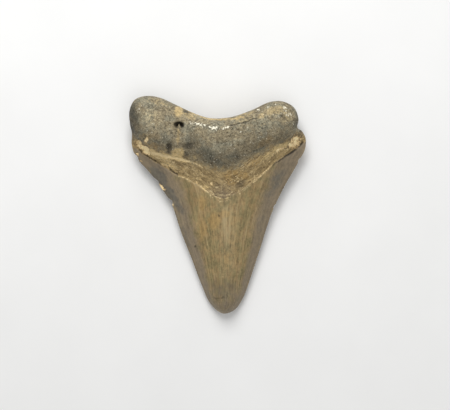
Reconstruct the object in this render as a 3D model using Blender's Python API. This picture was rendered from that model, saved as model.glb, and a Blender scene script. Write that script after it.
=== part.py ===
"""A fossil megalodon tooth, one solid, lying on its labial face.

The frame: +Y runs from the tip to the root, +X to the right as the lingual face is seen, +Z up out
of that face. The origin is under the middle of the tooth, on the surface that it lies on.

The plan of the tooth is filled with points, once for each face. A few functions then lift the
points to the lingual face above and the labial face below, and the two sheets meet on the outline:
the cutting edges of the crown and the rounded sides of the root.

Lengths are in millimetres until the finished tooth is brought to its driving size in metres.
"""

import math

import bmesh
import bpy
import numpy as np
from mathutils import Vector, noise
from mathutils.geometry import delaunay_2d_cdt

MM = 0.001
NODE_NAME = "tooth"

# Driving dimensions, in millimetres.
TOOTH_WIDTH = 47.7  # across the root lobes and the shoulders of the crown
TOOTH_LENGTH = 58.9  # from the tip to the top of the higher lobe
TOOTH_THICKNESS = 13.2  # at the boss in the middle of the root
FACET_SIDE = 0.92  # side of the triangles that cover both faces

# The outline, counter-clockwise from the tip, in millimetres from the middle of its box.
RIGHT_EDGE = [
    (1.3, -29.45), (4.3, -28.65), (6.6, -25.7), (8.9, -19.6), (11.7, -11.0), (14.5, -2.4),
    (17.9, 4.9), (21.9, 11.9), (23.6, 15.4),
]
RIGHT_LOBE = [
    (23.7, 18.1), (22.7, 20.1), (21.7, 21.5), (21.7, 23.4), (20.6, 26.2), (17.8, 27.9), (14.2, 27.9),
]
ROOT_ARCH = [(9.2, 25.7), (3.8, 23.8), (-1.7, 23.4), (-6.0, 24.6), (-12.0, 27.4)]
LEFT_LOBE = [
    (-15.6, 29.0), (-19.5, 29.45), (-22.4, 28.4), (-23.8, 25.4), (-23.7, 22.0), (-23.2, 19.4),
]
LEFT_EDGE = [
    (-23.3, 16.6), (-22.3, 13.2), (-18.6, 9.0), (-15.4, 4.7), (-12.6, 0.4), (-10.2, -6.7),
    (-7.3, -14.1), (-4.5, -21.5), (-1.9, -27.0),
]

# Bites out of the outline: the place on it, how wide and how deep.
EDGE_CHIPS = [
    ((-12.8, 0.9), 1.5, 0.55),
    ((-16.6, 6.3), 2.1, 0.40),
    ((-22.2, 12.9), 1.8, 0.45),
    ((22.1, 12.2), 1.3, 0.30),
    ((15.4, -0.4), 1.1, 0.22),
    ((22.0, 21.1), 1.6, 0.50),
]

# Three lines cross the faces from side to side, each a smooth curve through its points: the
# enamel's edge on both faces, and the foot of the root, where the bourlette begins.
LINGUAL_ENAMEL = [
    (-23.8, 16.4), (-20.2, 13.7), (-17.1, 11.7), (-10.3, 7.7), (-6.5, 5.9), (-3.4, 3.8),
    (-0.3, 2.2), (1.2, 1.9), (2.8, 2.2), (6.3, 4.0), (12.8, 8.9), (15.9, 11.8), (19.8, 14.3),
    (23.8, 17.1),
]
ROOT_FOOT = [
    (-23.8, 18.6), (-19.5, 16.5), (-14.0, 14.2), (-9.0, 12.8), (-4.5, 10.9), (0.0, 9.6),
    (3.5, 9.8), (10.1, 13.5), (17.1, 16.9), (19.8, 18.4), (23.8, 20.0),
]
LABIAL_ENAMEL = [(-23.8, 17.0), (-15.0, 13.2), (-7.0, 11.0), (0.0, 10.4), (8.0, 11.2), (23.8, 17.2)]
ENAMEL_STEP = 0.38  # how far the enamel stands over the bourlette
LABIAL_STEP = 0.32
STEP_RUN = 0.35  # breadth of both ledges in plan

# Height of the outline over the surface that the tooth lies on.
TIP_Y, SHOULDER_Y, LOBE_Y = -29.45, 17.0, 25.0
TIP_EDGE, SHOULDER_EDGE, LOBE_EDGE = 1.5, 3.7, 4.9
ARCH_EDGE_LIFT = 1.1

# The crown's lingual face, and the labial face that lies flat along its middle.
CROWN_RISE = 7.3  # over the cutting edges, where the crown is as wide as the next value
CROWN_BASE_WIDTH = 40.0
CROWN_TAPER = 0.45  # power by which the rise shrinks with the width
CROWN_SWELL = 1.2  # power of the cross section, over 1 for thin cutting edges
FLAT_SHARE = 0.34  # share of the crown's labial half-width that lies flat
TIP_LIFT, TIP_LIFT_FROM, TIP_LIFT_RUN = 0.7, -19.0, 10.0

# The root: two lobes with rounded sides, and a boss over the middle.
LOBE_TOP = 10.4
BOSS_RISE, BOSS_X, BOSS_REACH = 2.8, 0.5, 11.5
CREST_Y, CREST_FALL = 17.0, 0.05  # where the root is thickest, and how it falls away to both sides
LOBE_SWELL, LOBE_SWELL_AT, LOBE_SWELL_REACH = 0.35, (-17.5, 22.0), 5.0
LINGUAL_ROUNDING, LABIAL_ROUNDING = 5.2, 3.4  # how far in from the outline the sides curve
ROUNDING_POWER = 2.3
ROOT_BLEND, MIDDLE_BLEND, MIDDLE_REACH = 2.4, 2.2, 12.0  # how far up the crown's slope carries on
BASAL_RIDGE, RIDGE_INSET, RIDGE_BREADTH, RIDGE_REACH = 0.28, 2.7, 0.9, 10.0
LABIAL_DISH = 0.75  # clearance under the middle of the root
REST_X, REST_Y, REST_REACH = 14.5, 22.5, 5.5  # where both lobes touch the surface

# The nutrient foramen and the hollows: centre, half length, half breadth, direction, depth.
FORAMEN = ((-10.3, 21.4), 1.25, 0.80, 0.0, 1.7)
HOLLOWS = [
    ((-20.4, 15.9), 2.9, 0.95, -46.0, 0.55),  # chips at the shoulders of the crown
    ((20.6, 16.9), 2.3, 1.25, 33.0, 0.40),
    ((-13.0, 15.4), 1.5, 0.8, 75.0, 0.50),  # pits of the bone
    ((-6.9, 15.6), 2.0, 1.2, 10.0, 0.28),
    ((15.8, 24.9), 1.6, 0.9, 30.0, 0.22),
]
HOLLOW_FLOOR = 0.35  # share of a hollow that is at full depth

# Slow waves of the bone: size, height, and where in the noise they are taken.
LINGUAL_WAVES = (4.5, 0.22, 11.0)
LABIAL_WAVES = (5.5, 0.16, 47.0)


def smoothstep(x):
    x = np.clip(x, 0.0, 1.0)
    return x * x * (3.0 - 2.0 * x)


def bump(x, reach):
    return np.exp(-((x / reach) ** 2))


def mix(a, b, share):
    return a + (b - a) * share


def rounded(share):
    """From 0 at the border to 1 inside, as the side of a rounded block."""
    return (1.0 - (1.0 - np.clip(share, 0.0, 1.0)) ** ROUNDING_POWER) ** (1.0 / ROUNDING_POWER)


def spline(points, spacing, closed=False):
    """A centripetal curve through the points, as a path with even steps of about spacing."""
    known = [np.array(p, float) for p in points]
    if closed:
        known = [known[-1], *known, known[0], known[1]]
    else:
        known = [2 * known[0] - known[1], *known, 2 * known[-1] - known[-2]]
    samples = []
    for stretch in zip(known, known[1:], known[2:], known[3:]):
        runs = [math.sqrt(np.linalg.norm(b - a)) for a, b in zip(stretch, stretch[1:])]
        knots = np.cumsum([0.0] + runs)
        steps = max(4, round(4 * np.linalg.norm(stretch[2] - stretch[1]) / spacing))
        for t in np.linspace(knots[1], knots[2], steps, endpoint=False):
            row = stretch
            for span in (1, 2):
                shares = [(t - knots[k]) / (knots[k + span] - knots[k]) for k in range(4 - span)]
                row = [mix(a, b, s) for a, b, s in zip(row, row[1:], shares)]
            samples.append(mix(*row, (t - knots[1]) / (knots[2] - knots[1])))
    samples.append(samples[0] if closed else known[-2])
    path = np.array(samples)
    along = np.concatenate([[0.0], np.cumsum(np.linalg.norm(np.diff(path, axis=0), axis=1))])
    wanted = np.linspace(0.0, along[-1], max(2, round(along[-1] / spacing)) + 1)
    even = np.column_stack([np.interp(wanted, along, path[:, k]) for k in (0, 1)])
    return even[:-1] if closed else even


def distance(points, path, closed=False):
    """How far each point lies from the path."""
    ends = np.roll(path, -1, axis=0)
    count = len(path) if closed else len(path) - 1
    nearest = np.full(len(points), np.inf)
    for start, run in zip(path[:count], (ends - path)[:count]):
        away = points - start
        share = np.clip(away @ run / (run @ run), 0.0, 1.0)
        nearest = np.minimum(nearest, np.linalg.norm(away - share[:, None] * run, axis=1))
    return nearest


def normals_inward(path):
    """The inward unit normal at each point of a counter-clockwise closed path."""
    along = np.roll(path, -1, axis=0) - np.roll(path, 1, axis=0)
    along /= np.linalg.norm(along, axis=1)[:, None]
    return np.column_stack([-along[:, 1], along[:, 0]])


def inside(points, path):
    """Which points lie inside a closed path, by counting crossings."""
    found = np.zeros(len(points), bool)
    x, y = points.T
    for (x0, y0), (x1, y1) in zip(path, np.roll(path, -1, axis=0)):
        crosses = (y0 > y) != (y1 > y)
        if y0 != y1:
            found ^= crosses & (x < (x1 - x0) * (y - y0) / (y1 - y0) + x0)
    return found


def clear_of(kept, points, gap):
    """Those of the points that lie at least gap away from each kept one."""
    return np.array([p for p in points if np.linalg.norm(kept - p, axis=1).min() >= gap])


class Plan:
    """The tooth seen from above: its chipped outline, its cutting edges and the lines across it."""

    def __init__(self, spacing):
        whole = RIGHT_EDGE + RIGHT_LOBE + ROOT_ARCH + LEFT_LOBE + LEFT_EDGE
        smooth = spline(whole, spacing, closed=True)
        inward = normals_inward(smooth)
        self.outline = smooth.copy()
        for place, width, depth in EDGE_CHIPS:
            away = np.linalg.norm(smooth - place, axis=1)
            self.outline += inward * (depth * bump(away, width / 2))[:, None]
        self.right_edge = spline(RIGHT_EDGE + RIGHT_LOBE[:1], spacing)
        self.left_edge = spline(LEFT_LOBE[-1:] + LEFT_EDGE + RIGHT_EDGE[:1], spacing)
        self.lingual_enamel = spline(LINGUAL_ENAMEL, spacing)
        self.labial_enamel = spline(LABIAL_ENAMEL, spacing)
        self.root_foot = spline(ROOT_FOOT, spacing)

    def border(self, points):
        return distance(points, self.outline, closed=True)

    def crown_section(self, points):
        """The crown's local width, and 1 on its middle line falling to 0 on both cutting edges."""
        left = distance(points, self.left_edge)
        right = distance(points, self.right_edge)
        width = np.maximum(left + right, 1e-6)
        return width, 4.0 * left * right / width**2


def above_line(line, points):
    """How far each point lies from a line across the tooth, negative on the tip's side."""
    over = points[:, 1] - np.interp(points[:, 0], line[:, 0], line[:, 1])
    return np.sign(over) * distance(points, line)


def edge_height(points):
    """Height of the outline: the cutting edge of the crown, and the middle of the root's sides."""
    x, y = points.T
    crown = mix(TIP_EDGE, SHOULDER_EDGE, (y - TIP_Y) / (SHOULDER_Y - TIP_Y))
    over_shoulder = smoothstep((y - SHOULDER_Y + 2.0) / (LOBE_Y - SHOULDER_Y + 2.0))
    arch = ARCH_EDGE_LIFT * bump(x, 9.0) * smoothstep((y - 12.0) / 10.0)
    return crown + (LOBE_EDGE - SHOULDER_EDGE) * over_shoulder + arch


def hollow(points, place, half_length, half_breadth, degrees, depth):
    """A smooth dish of that depth, in plan an ellipse."""
    turn = math.radians(degrees)
    x, y = (points - place).T
    along = (x * math.cos(turn) + y * math.sin(turn)) / half_length
    across = (y * math.cos(turn) - x * math.sin(turn)) / half_breadth
    return depth * (1.0 - smoothstep(np.hypot(along, across) - HOLLOW_FLOOR))


def waves(points, size, height, offset):
    """Slow waves of the bone's surface, up and down by that height."""
    x_y = points / size
    return height * np.array([noise.noise(Vector((x, y, offset))) for x, y in x_y])


def lingual_height(points, plan):
    """The bulging upper face, with the root's boss, the bourlette and the enamel's ledge."""
    x, y = points.T
    edge = edge_height(points)
    border = plan.border(points)
    width, middle = plan.crown_section(points)
    crown = edge + CROWN_RISE * (width / CROWN_BASE_WIDTH) ** CROWN_TAPER * middle**CROWN_SWELL
    top = LOBE_TOP + BOSS_RISE * bump(x - BOSS_X, BOSS_REACH) - CREST_FALL * np.abs(y - CREST_Y)
    top += LOBE_SWELL * bump(np.linalg.norm(points - LOBE_SWELL_AT, axis=1), LOBE_SWELL_REACH)
    root = edge + (top - edge) * rounded(border / LINGUAL_ROUNDING)
    along_arch = bump(x - BOSS_X, RIDGE_REACH) * smoothstep((y - CREST_Y + 3.0) / 4.0)
    root += BASAL_RIDGE * bump(border - RIDGE_INSET, RIDGE_BREADTH) * along_arch
    over_enamel = above_line(plan.lingual_enamel, points)
    over_foot = above_line(plan.root_foot, points)
    reach = ROOT_BLEND + MIDDLE_BLEND * bump(x, MIDDLE_REACH)
    share = over_enamel / np.maximum(over_enamel - over_foot + reach, 0.8)
    face = mix(crown, root, smoothstep(share))
    trough = smoothstep(over_enamel / STEP_RUN) * (1.0 - smoothstep((over_foot + 0.4) / 1.6))
    face -= ENAMEL_STEP * trough * rounded(border / 1.5)
    for shape in HOLLOWS:
        face -= hollow(points, *shape) * rounded(border / 1.2)
    on_bone = smoothstep(over_enamel / 3.0) * smoothstep(border / 2.5)
    face += waves(points, *LINGUAL_WAVES) * on_bone
    return face - hollow(points, *FORAMEN)


def labial_height(points, plan):
    """The flatter lower face: it lies on the crown's middle and on both root lobes."""
    x, y = points.T
    edge = edge_height(points)
    border = plan.border(points)
    _, middle = plan.crown_section(points)
    off_middle = np.sqrt(np.clip(1.0 - middle, 0.0, 1.0))
    rise = np.clip((off_middle - FLAT_SHARE) / (1.0 - FLAT_SHARE), 0.0, 1.0) ** 2
    lift = TIP_LIFT * (np.clip(TIP_LIFT_FROM - y, 0.0, None) / TIP_LIFT_RUN) ** 2
    crown = edge * rise + lift * (1.0 - rise)
    on_lobe = bump(np.hypot(np.abs(x) - REST_X, 0.8 * (y - REST_Y)), REST_REACH)
    floor = LABIAL_DISH * np.clip(1.0 - 1.35 * on_lobe, 0.0, 1.0)
    root = edge - (edge - floor) * rounded(border / LABIAL_ROUNDING)
    over_enamel = above_line(plan.labial_enamel, points)
    face = mix(crown, root, smoothstep((over_enamel + 1.0) / 4.5))
    ledge = smoothstep(over_enamel / STEP_RUN) * (1.0 - smoothstep(over_enamel / 5.0))
    face += LABIAL_STEP * ledge * rounded(border / 1.5)
    off_rest = smoothstep(over_enamel / 3.0) * smoothstep(border / 2.5) * (1.0 - on_lobe)
    face += np.clip(waves(points, *LABIAL_WAVES) + 0.06, 0.0, None) * off_rest
    return np.maximum(face, 0.0)


def fill_points(plan, spacing, ledge, ring_insets):
    """Points inside the outline, and which of them a ledge joins in pairs.

    They stand along both sides of the ledge, round the foramen, in rings inside the border, and
    everywhere else in a lattice of even triangles.
    """
    edge = plan.outline
    guides, joined = [], []
    for side in (0.0, STEP_RUN):
        row = ledge + [0.0, side]
        row = row[inside(row, edge)]
        row = row[plan.border(row) > 0.45 * spacing]
        first = sum(map(len, guides))
        joined += [(k, k + 1) for k in range(first, first + len(row) - 1)]
        guides.append(row)
    place, half_length, half_breadth, _, _ = FORAMEN
    for share, count in ((0.0, 1), (0.5, 8), (1.0, 14), (1.4, 14)):
        turns = np.linspace(0.0, 2.0 * math.pi, count, endpoint=False)
        ring = np.column_stack([np.cos(turns) * half_length, np.sin(turns) * half_breadth])
        guides.append(np.array(place) + share * ring)
    fixed = np.vstack(guides)
    inward = normals_inward(edge)
    for inset in ring_insets:
        ring = edge + inward * inset
        ring = ring[plan.border(ring) > 0.97 * inset]
        fixed = np.vstack([fixed, clear_of(fixed, ring, min(0.5 * spacing, 1.1 * inset))])
    low, high = edge.min(axis=0), edge.max(axis=0)
    lattice = np.array([
        (x + (spacing / 2 if odd % 2 else 0.0), y)
        for odd, y in enumerate(np.arange(low[1], high[1], spacing * math.sqrt(3) / 2))
        for x in np.arange(low[0], high[0], spacing)
    ])
    lattice = lattice[inside(lattice, edge)]
    lattice = lattice[plan.border(lattice) > ring_insets[-1] + 0.6 * spacing]
    return np.vstack([fixed, clear_of(fixed, lattice, 0.6 * spacing)]), joined


def triangles(outline, fill, joined):
    """Delaunay triangles over the plan. Each has a corner off the outline, where the faces meet."""
    count = len(outline)
    kept = [(k, (k + 1) % count) for k in range(count)] + [(count + a, count + b) for a, b in joined]
    for _ in range(4):
        flat = [Vector(p) for p in np.vstack([outline, fill])]
        made = delaunay_2d_cdt(flat, kept, [list(range(count))], 1, 1e-6)
        corners = np.array([f for f in made[2] if len(f) == 3])
        placed = np.array([tuple(v) for v in made[0]])
        on_edge = (corners < count).all(axis=1)
        if not on_edge.any():
            return placed, corners
        fill = np.vstack([fill, placed[corners[on_edge]].mean(axis=1)])
    raise ValueError("a triangle still has all its corners on the outline")


def tooth_mesh(spacing):
    """Both faces as one closed mesh, brought to the driving size with its box on the origin."""
    plan = Plan(spacing)
    insets = (0.35 * spacing, 1.0 * spacing, 1.9 * spacing)
    count = len(plan.outline)
    upper, upper_faces = triangles(
        plan.outline, *fill_points(plan, spacing, plan.lingual_enamel, insets))
    lower, lower_faces = triangles(
        plan.outline, *fill_points(plan, spacing, plan.labial_enamel, insets))
    lower_faces = np.where(lower_faces < count, lower_faces, lower_faces + len(upper) - count)
    places = np.vstack([
        np.column_stack([plan.outline, edge_height(plan.outline)]),
        np.column_stack([upper[count:], lingual_height(upper[count:], plan)]),
        np.column_stack([lower[count:], labial_height(lower[count:], plan)]),
    ])
    low, high = places.min(axis=0), places.max(axis=0)
    foot = np.array([(low[0] + high[0]) / 2, (low[1] + high[1]) / 2, low[2]])
    places = (places - foot) * [TOOTH_WIDTH, TOOTH_LENGTH, TOOTH_THICKNESS] / (high - low) * MM
    mesh = bpy.data.meshes.new(NODE_NAME)
    mesh.from_pydata(places.tolist(), [], upper_faces.tolist() + lower_faces[:, ::-1].tolist())
    body = bmesh.new()
    body.from_mesh(mesh)
    bmesh.ops.recalc_face_normals(body, faces=body.faces)
    body.to_mesh(mesh)
    body.free()
    return mesh


def fossil_material():
    """Grey-brown mineralised bone and enamel, seen from a step away."""
    material = bpy.data.materials.new("fossil")
    material.use_nodes = True
    surface = material.node_tree.nodes["Principled BSDF"]
    surface.inputs["Base Color"].default_value = (0.17, 0.14, 0.09, 1.0)
    surface.inputs["Roughness"].default_value = 0.5
    surface.inputs["Metallic"].default_value = 0.0
    return material


def main():
    for old in list(bpy.data.objects):
        bpy.data.objects.remove(old)
    mesh = tooth_mesh(FACET_SIDE)
    mesh.shade_smooth()
    mesh.materials.append(fossil_material())
    tooth = bpy.data.objects.new(NODE_NAME, mesh)
    bpy.context.scene.collection.objects.link(tooth)


main()
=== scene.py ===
"""Fossil megalodon tooth: its fine surface and finish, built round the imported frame.

The file is laid out as a Blender add-on. The tooth is one piece, a fine mesh of the same form as
the frame's solid, with the grain, cracks, flakes and serrations that the solid leaves out. Its
lengths are in millimetres until the mesh is fitted to the solid's box, in metres.
"""
import functools
import math
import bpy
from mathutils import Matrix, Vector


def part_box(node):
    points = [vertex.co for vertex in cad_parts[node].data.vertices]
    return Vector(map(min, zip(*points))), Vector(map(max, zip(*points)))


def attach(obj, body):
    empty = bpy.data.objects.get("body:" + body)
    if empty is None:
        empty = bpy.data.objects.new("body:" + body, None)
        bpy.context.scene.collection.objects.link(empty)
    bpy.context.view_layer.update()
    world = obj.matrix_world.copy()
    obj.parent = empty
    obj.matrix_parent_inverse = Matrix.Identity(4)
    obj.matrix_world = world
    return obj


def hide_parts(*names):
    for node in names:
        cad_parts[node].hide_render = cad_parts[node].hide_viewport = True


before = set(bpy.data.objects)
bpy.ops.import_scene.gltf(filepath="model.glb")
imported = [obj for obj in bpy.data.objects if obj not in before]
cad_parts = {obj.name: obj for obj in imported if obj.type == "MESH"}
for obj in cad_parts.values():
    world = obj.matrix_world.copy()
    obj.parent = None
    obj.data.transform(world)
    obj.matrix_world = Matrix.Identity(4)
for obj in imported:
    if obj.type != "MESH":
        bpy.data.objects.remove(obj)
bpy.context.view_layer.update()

from types import SimpleNamespace

import bpy
import numpy as np
from bpy.props import FloatProperty, FloatVectorProperty, PointerProperty
from mathutils import Vector, noise
from mathutils.geometry import delaunay_2d_cdt

bl_info = {
    "name": "Fossil Megalodon Tooth",
    "version": (1, 0, 0),
    "blender": (4, 5, 0),
    "location": "View3D > Sidebar > Fossil",
    "description": "Builds a fossil shark tooth with its weathered root, bourlette and enamel",
    "category": "Object",
}

NODE = "tooth"
MM = 0.001
TOOTH_LOW, TOOTH_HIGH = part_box(NODE)

# ---- The form of the tooth, as in the frame's solid ----
# Each SPAN or RIM is a pair for step(): where a thing starts, and where it is complete.

# The outline, counter-clockwise from the tip, in millimetres from the middle of its box.
RIGHT_EDGE = [
    (1.3, -29.45), (4.3, -28.65), (6.6, -25.7), (8.9, -19.6), (11.7, -11.0), (14.5, -2.4),
    (17.9, 4.9), (21.9, 11.9), (23.6, 15.4),
]
RIGHT_LOBE = [
    (23.7, 18.1), (22.7, 20.1), (21.7, 21.5), (21.7, 23.4), (20.6, 26.2), (17.8, 27.9), (14.2, 27.9),
]
ROOT_ARCH = [(9.2, 25.7), (3.8, 23.8), (-1.7, 23.4), (-6.0, 24.6), (-12.0, 27.4)]
LEFT_LOBE = [
    (-15.6, 29.0), (-19.5, 29.45), (-22.4, 28.4), (-23.8, 25.4), (-23.7, 22.0), (-23.2, 19.4),
]
LEFT_EDGE = [
    (-23.3, 16.6), (-22.3, 13.2), (-18.6, 9.0), (-15.4, 4.7), (-12.6, 0.4), (-10.2, -6.7),
    (-7.3, -14.1), (-4.5, -21.5), (-1.9, -27.0),
]

# Bites out of the outline: the place on it, how wide and how deep.
EDGE_CHIPS = [
    ((-12.8, 0.9), 1.5, 0.55),
    ((-16.6, 6.3), 2.1, 0.40),
    ((-22.2, 12.9), 1.8, 0.45),
    ((22.1, 12.2), 1.3, 0.30),
    ((15.4, -0.4), 1.1, 0.22),
    ((22.0, 21.1), 1.6, 0.50),
]

# Three lines cross the faces from side to side, each a smooth curve through its points: the
# enamel's edge on both faces, and the foot of the root, where the bourlette begins.
LINGUAL_ENAMEL = [
    (-23.8, 16.4), (-20.2, 13.7), (-17.1, 11.7), (-10.3, 7.7), (-6.5, 5.9), (-3.4, 3.8),
    (-0.3, 2.2), (1.2, 1.9), (2.8, 2.2), (6.3, 4.0), (12.8, 8.9), (15.9, 11.8), (19.8, 14.3),
    (23.8, 17.1),
]
ROOT_FOOT = [
    (-23.8, 18.6), (-19.5, 16.5), (-14.0, 14.2), (-9.0, 12.8), (-4.5, 10.9), (0.0, 9.6),
    (3.5, 9.8), (10.1, 13.5), (17.1, 16.9), (19.8, 18.4), (23.8, 20.0),
]
LABIAL_ENAMEL = [(-23.8, 17.0), (-15.0, 13.2), (-7.0, 11.0), (0.0, 10.4), (8.0, 11.2), (23.8, 17.2)]
ENAMEL_STEP = 0.38  # how far the enamel stands over the bourlette
TROUGH_SPAN = (1.2, -0.4)  # over the root's foot, where the bourlette's trough ends
LABIAL_STEP, LABIAL_STEP_SPAN = 0.32, (5.0, 0.0)
STEP_RUN = 0.35  # breadth of both ledges in plan
STEP_FADE, HOLLOW_FADE = 1.5, 1.2  # how far in from the outline ledges and hollows are complete

# Height of the outline over the surface that the tooth lies on.
TIP_Y, SHOULDER_Y, LOBE_Y = -29.45, 17.0, 25.0
TIP_EDGE, SHOULDER_EDGE, LOBE_EDGE = 1.5, 3.7, 4.9
ARCH_EDGE_LIFT, ARCH_REACH, ARCH_SPAN = 1.1, 9.0, (12.0, 22.0)

# The crown's lingual face, and the labial face that lies flat along its middle.
CROWN_RISE = 7.3  # over the cutting edges, where the crown is as wide as the next value
CROWN_BASE_WIDTH = 40.0
CROWN_TAPER = 0.45  # power by which the rise shrinks with the width
CROWN_SWELL = 1.2  # power of the cross section, over 1 for thin cutting edges
FLAT_SHARE = 0.34  # share of the crown's labial half-width that lies flat
TIP_LIFT, TIP_LIFT_FROM, TIP_LIFT_RUN = 0.7, -19.0, 10.0

# The root: two lobes with rounded sides, and a boss over the middle.
LOBE_TOP = 10.4
BOSS_RISE, BOSS_X, BOSS_REACH = 2.8, 0.5, 11.5
CREST_Y, CREST_FALL = 17.0, 0.05  # where the root is thickest, and how it falls away to both sides
LOBE_SWELL, LOBE_SWELL_AT, LOBE_SWELL_REACH = 0.35, (-17.5, 22.0), 5.0
LINGUAL_ROUNDING, LABIAL_ROUNDING = 5.2, 3.4  # how far in from the outline the sides curve
ROUNDING_POWER = 2.3
ROOT_BLEND, MIDDLE_BLEND, MIDDLE_REACH = 2.4, 2.2, 12.0  # how far up the crown's slope carries on
LEAST_BLEND, LABIAL_BLEND_SPAN = 0.8, (-1.0, 3.5)
BASAL_RIDGE, RIDGE_INSET, RIDGE_BREADTH = 0.28, 2.7, 0.9
RIDGE_REACH, RIDGE_SPAN = 10.0, (14.0, 18.0)
LABIAL_DISH = 0.75  # clearance under the middle of the root
REST_X, REST_Y, REST_REACH = 14.5, 22.5, 5.5  # where both lobes touch the surface
REST_LENGTH, REST_FLAT = 0.8, 1.35  # how that place is drawn out in y, and flattened

# The nutrient foramen and the hollows: centre, half length, half breadth, direction, depth.
FORAMEN = ((-10.3, 21.4), 1.25, 0.80, 0.0, 1.7)
HOLLOWS = [
    ((-20.4, 15.9), 2.9, 0.95, -46.0, 0.55),  # chips at the shoulders of the crown
    ((20.6, 16.9), 2.3, 1.25, 33.0, 0.40),
    ((-13.0, 15.4), 1.5, 0.8, 75.0, 0.50),  # pits of the bone
    ((-6.9, 15.6), 2.0, 1.2, 10.0, 0.28),
    ((15.8, 24.9), 1.6, 0.9, 30.0, 0.22),
]
HOLLOW_FLOOR = 0.35  # share of a hollow that is at full depth

# Slow waves of the bone: size, height, and where in the noise they are taken.
LINGUAL_WAVES = (4.5, 0.22, 11.0)
LABIAL_WAVES, LABIAL_WAVE_LIFT = (5.5, 0.16, 47.0), 0.06
WAVES_OVER_ENAMEL, WAVES_FROM_BORDER = 3.0, 2.5  # where they are complete

# ---- The fine surface ----

EDGE_SPACING = 0.165  # between points along the outline
LINGUAL_SPACING = 0.225  # side of the triangles inside the border strip
LABIAL_SPACING = 0.30
PATH_SPACING = 0.45  # between points of the paths that distances are measured from
STRIP_BREADTH = 1.3  # a strip of rings along the outline
STRIP_RINGS = 13
STEEP_POWER, STEEP_SPAN = 2.3, (13.0, 18.0)  # the rings crowd outwards where the sides are upright
RING_GAP, LEDGE_GAP = 0.7, 0.6  # least gaps beside the strip and the ledge, in spacings

SERRATION_PITCH, SERRATION_SHARPNESS = 0.78, 1.6
SERRATION_SPAN, SERRATED_TIP_SPAN = (15.0, 12.0), (-28.5, -23.5)
LEAST_SERRATED, WORN_TIP = 0.12, 0.25  # shares of the depth where they are most worn
SERRATION_DEPTH = 0.13  # of the notches in the outline, where they are least worn
SERRATION_RIPPLE = 0.06  # of the ridges that run in from them

BONE_GRAIN = 0.085  # height of the root's grain
BONE_PORE, PORE_SPACING = 0.20, 1.05  # depth of its pores, and how far apart they are
PORE_RIM, PORED_NOISE = (0.36, 0.16), (-0.125, 0.375)  # a pore's slope; the noise that thins them out
BOURLETTE_GRAIN = 0.06
LAYER_THICKNESS, LAYER_LENGTH = 0.42, 2.6  # of the bourlette's layers, as they show on its face
ENAMEL_STRIAE = 0.016
STRIAE_ACROSS, STRIAE_LENGTH = 22.0, 16.0  # how many lines over half the crown, and how long
STRIAE_WIDTH_SPAN = (1.0, 5.0)  # they fade where the crown is narrow
CHIP_DEPTH, CHIP_ROUGH, CHIP_SPAN = 0.16, 0.1, (0.42, 0.62)
THIN_SHARE = 0.35  # how deep marks may be near a cutting edge, for each millimetre from it
THICK_SPAN = (21.0, 24.0)  # where the root is thick enough for any mark
RIM_SPAN = (-0.0875, 0.1625)  # the surface is plainer right at the outline
LABIAL_SINK = 1.3  # how deep the labial grain lies, in its own heights, to stay off the floor
TIP_REACH, TIP_ROUNDS = 1.5, 60  # how far from the point of the tip it is smoothed, and how often
TIP_SMOOTHING = 0.8  # share of the way to its neighbours that a point moves each time
APEX, APEX_WEAR = (1.4, 2.2), 0.8  # where the enamel's ledge is worn away, and how much of it
APEX_REACH, APEX_GRAIN, APEX_GRAIN_REACH, APEX_STAIN_REACH = 3.6, 0.07, 3.2, 3.0
RAGGED, RAGGED_SIZE = 0.42, 1.1  # how far the rims of flakes and stains wander, over that size
CRACK_SHARE, THREAD_SHARE = 0.4, 0.5  # how much of that cracks and threads wander
SEAM_SHADE_SPREAD = 1.3  # how much broader a crack's dark seam, partly painted shade, is than the crack
SIDE_SPAN, SIDE_BREADTH = (18.0, 21.5), 0.85  # the root's steep sides
SIDE_SWAY, SIDE_SIZE = 1.2, 3.4  # how far stains wander there
STAIN_RIM, HOLE_SHADE_RIM = (1.5, 0.4), (1.3, 1.0)  # on the scale of ellipse(); the second is the rim of the painted shade in the foramen
STAINED_SIDE, STAINED_SIDE_FADE = 2.4, 1.8  # how far the upper face's stains run down the sides
STAINED_SIDE_WANDER = 2.4
ARCH_WASH, WASH_X, WASH_SPAN = 0.85, -1.0, (12.5, 7.5)  # the tan wash between the lobes
WASH_NOISE = (-0.55, 0.45)
LEFT_MARGIN_SPAN, RIGHT_MARGIN_SPAN = (0.24, 0.08), (0.77, 0.94)  # shares of the crown's width
TIP_MARGIN, TIP_MARGIN_SPAN = 0.7, (-15.0, -28.0)
DARK_FOOT_SPAN, DARK_TOP_SPAN = (0.0, 1.5), (6.4, 3.0)  # painted shade: a dark band over the root's foot, on the slope that faces the tip
DARK_ENDS, DARK_MIDDLE, DARK_REACH = 0.33, 0.62, 11.0
STONE_PLACE, STONE_SIZE, STONE_HEIGHT = (-10.25, 20.85), 0.30, 1.15  # a grain in the foramen

# The rims of the root, the enamel and the seams, whose dark is partly painted shade along the cracks,
# for patch(): how far they wander, and where they start and are complete.
ROOT_PATCH, ENAMEL_PATCH, SEAM_SHADE_PATCH = (2.6, -1.3, 1.3), (0.5, 0.25, -0.1), (0.7, 0.2, 0.95)
BUMP_DISTANCE = 0.12 * MM  # of the grain that is finer than the mesh
ROUGH_BUMP, ENAMEL_BUMP = 0.7, 0.15
CHIP_ROUGHNESS, GLOSS = 0.55, 0.4
CAVITY_SHADE_SPAN, HOLE_SHADE_SPAN = (-0.20, 0.03), (0.3, -0.1)  # of the painted shade in the hollows and deep in the foramen, by the relief, in millimetres
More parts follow.
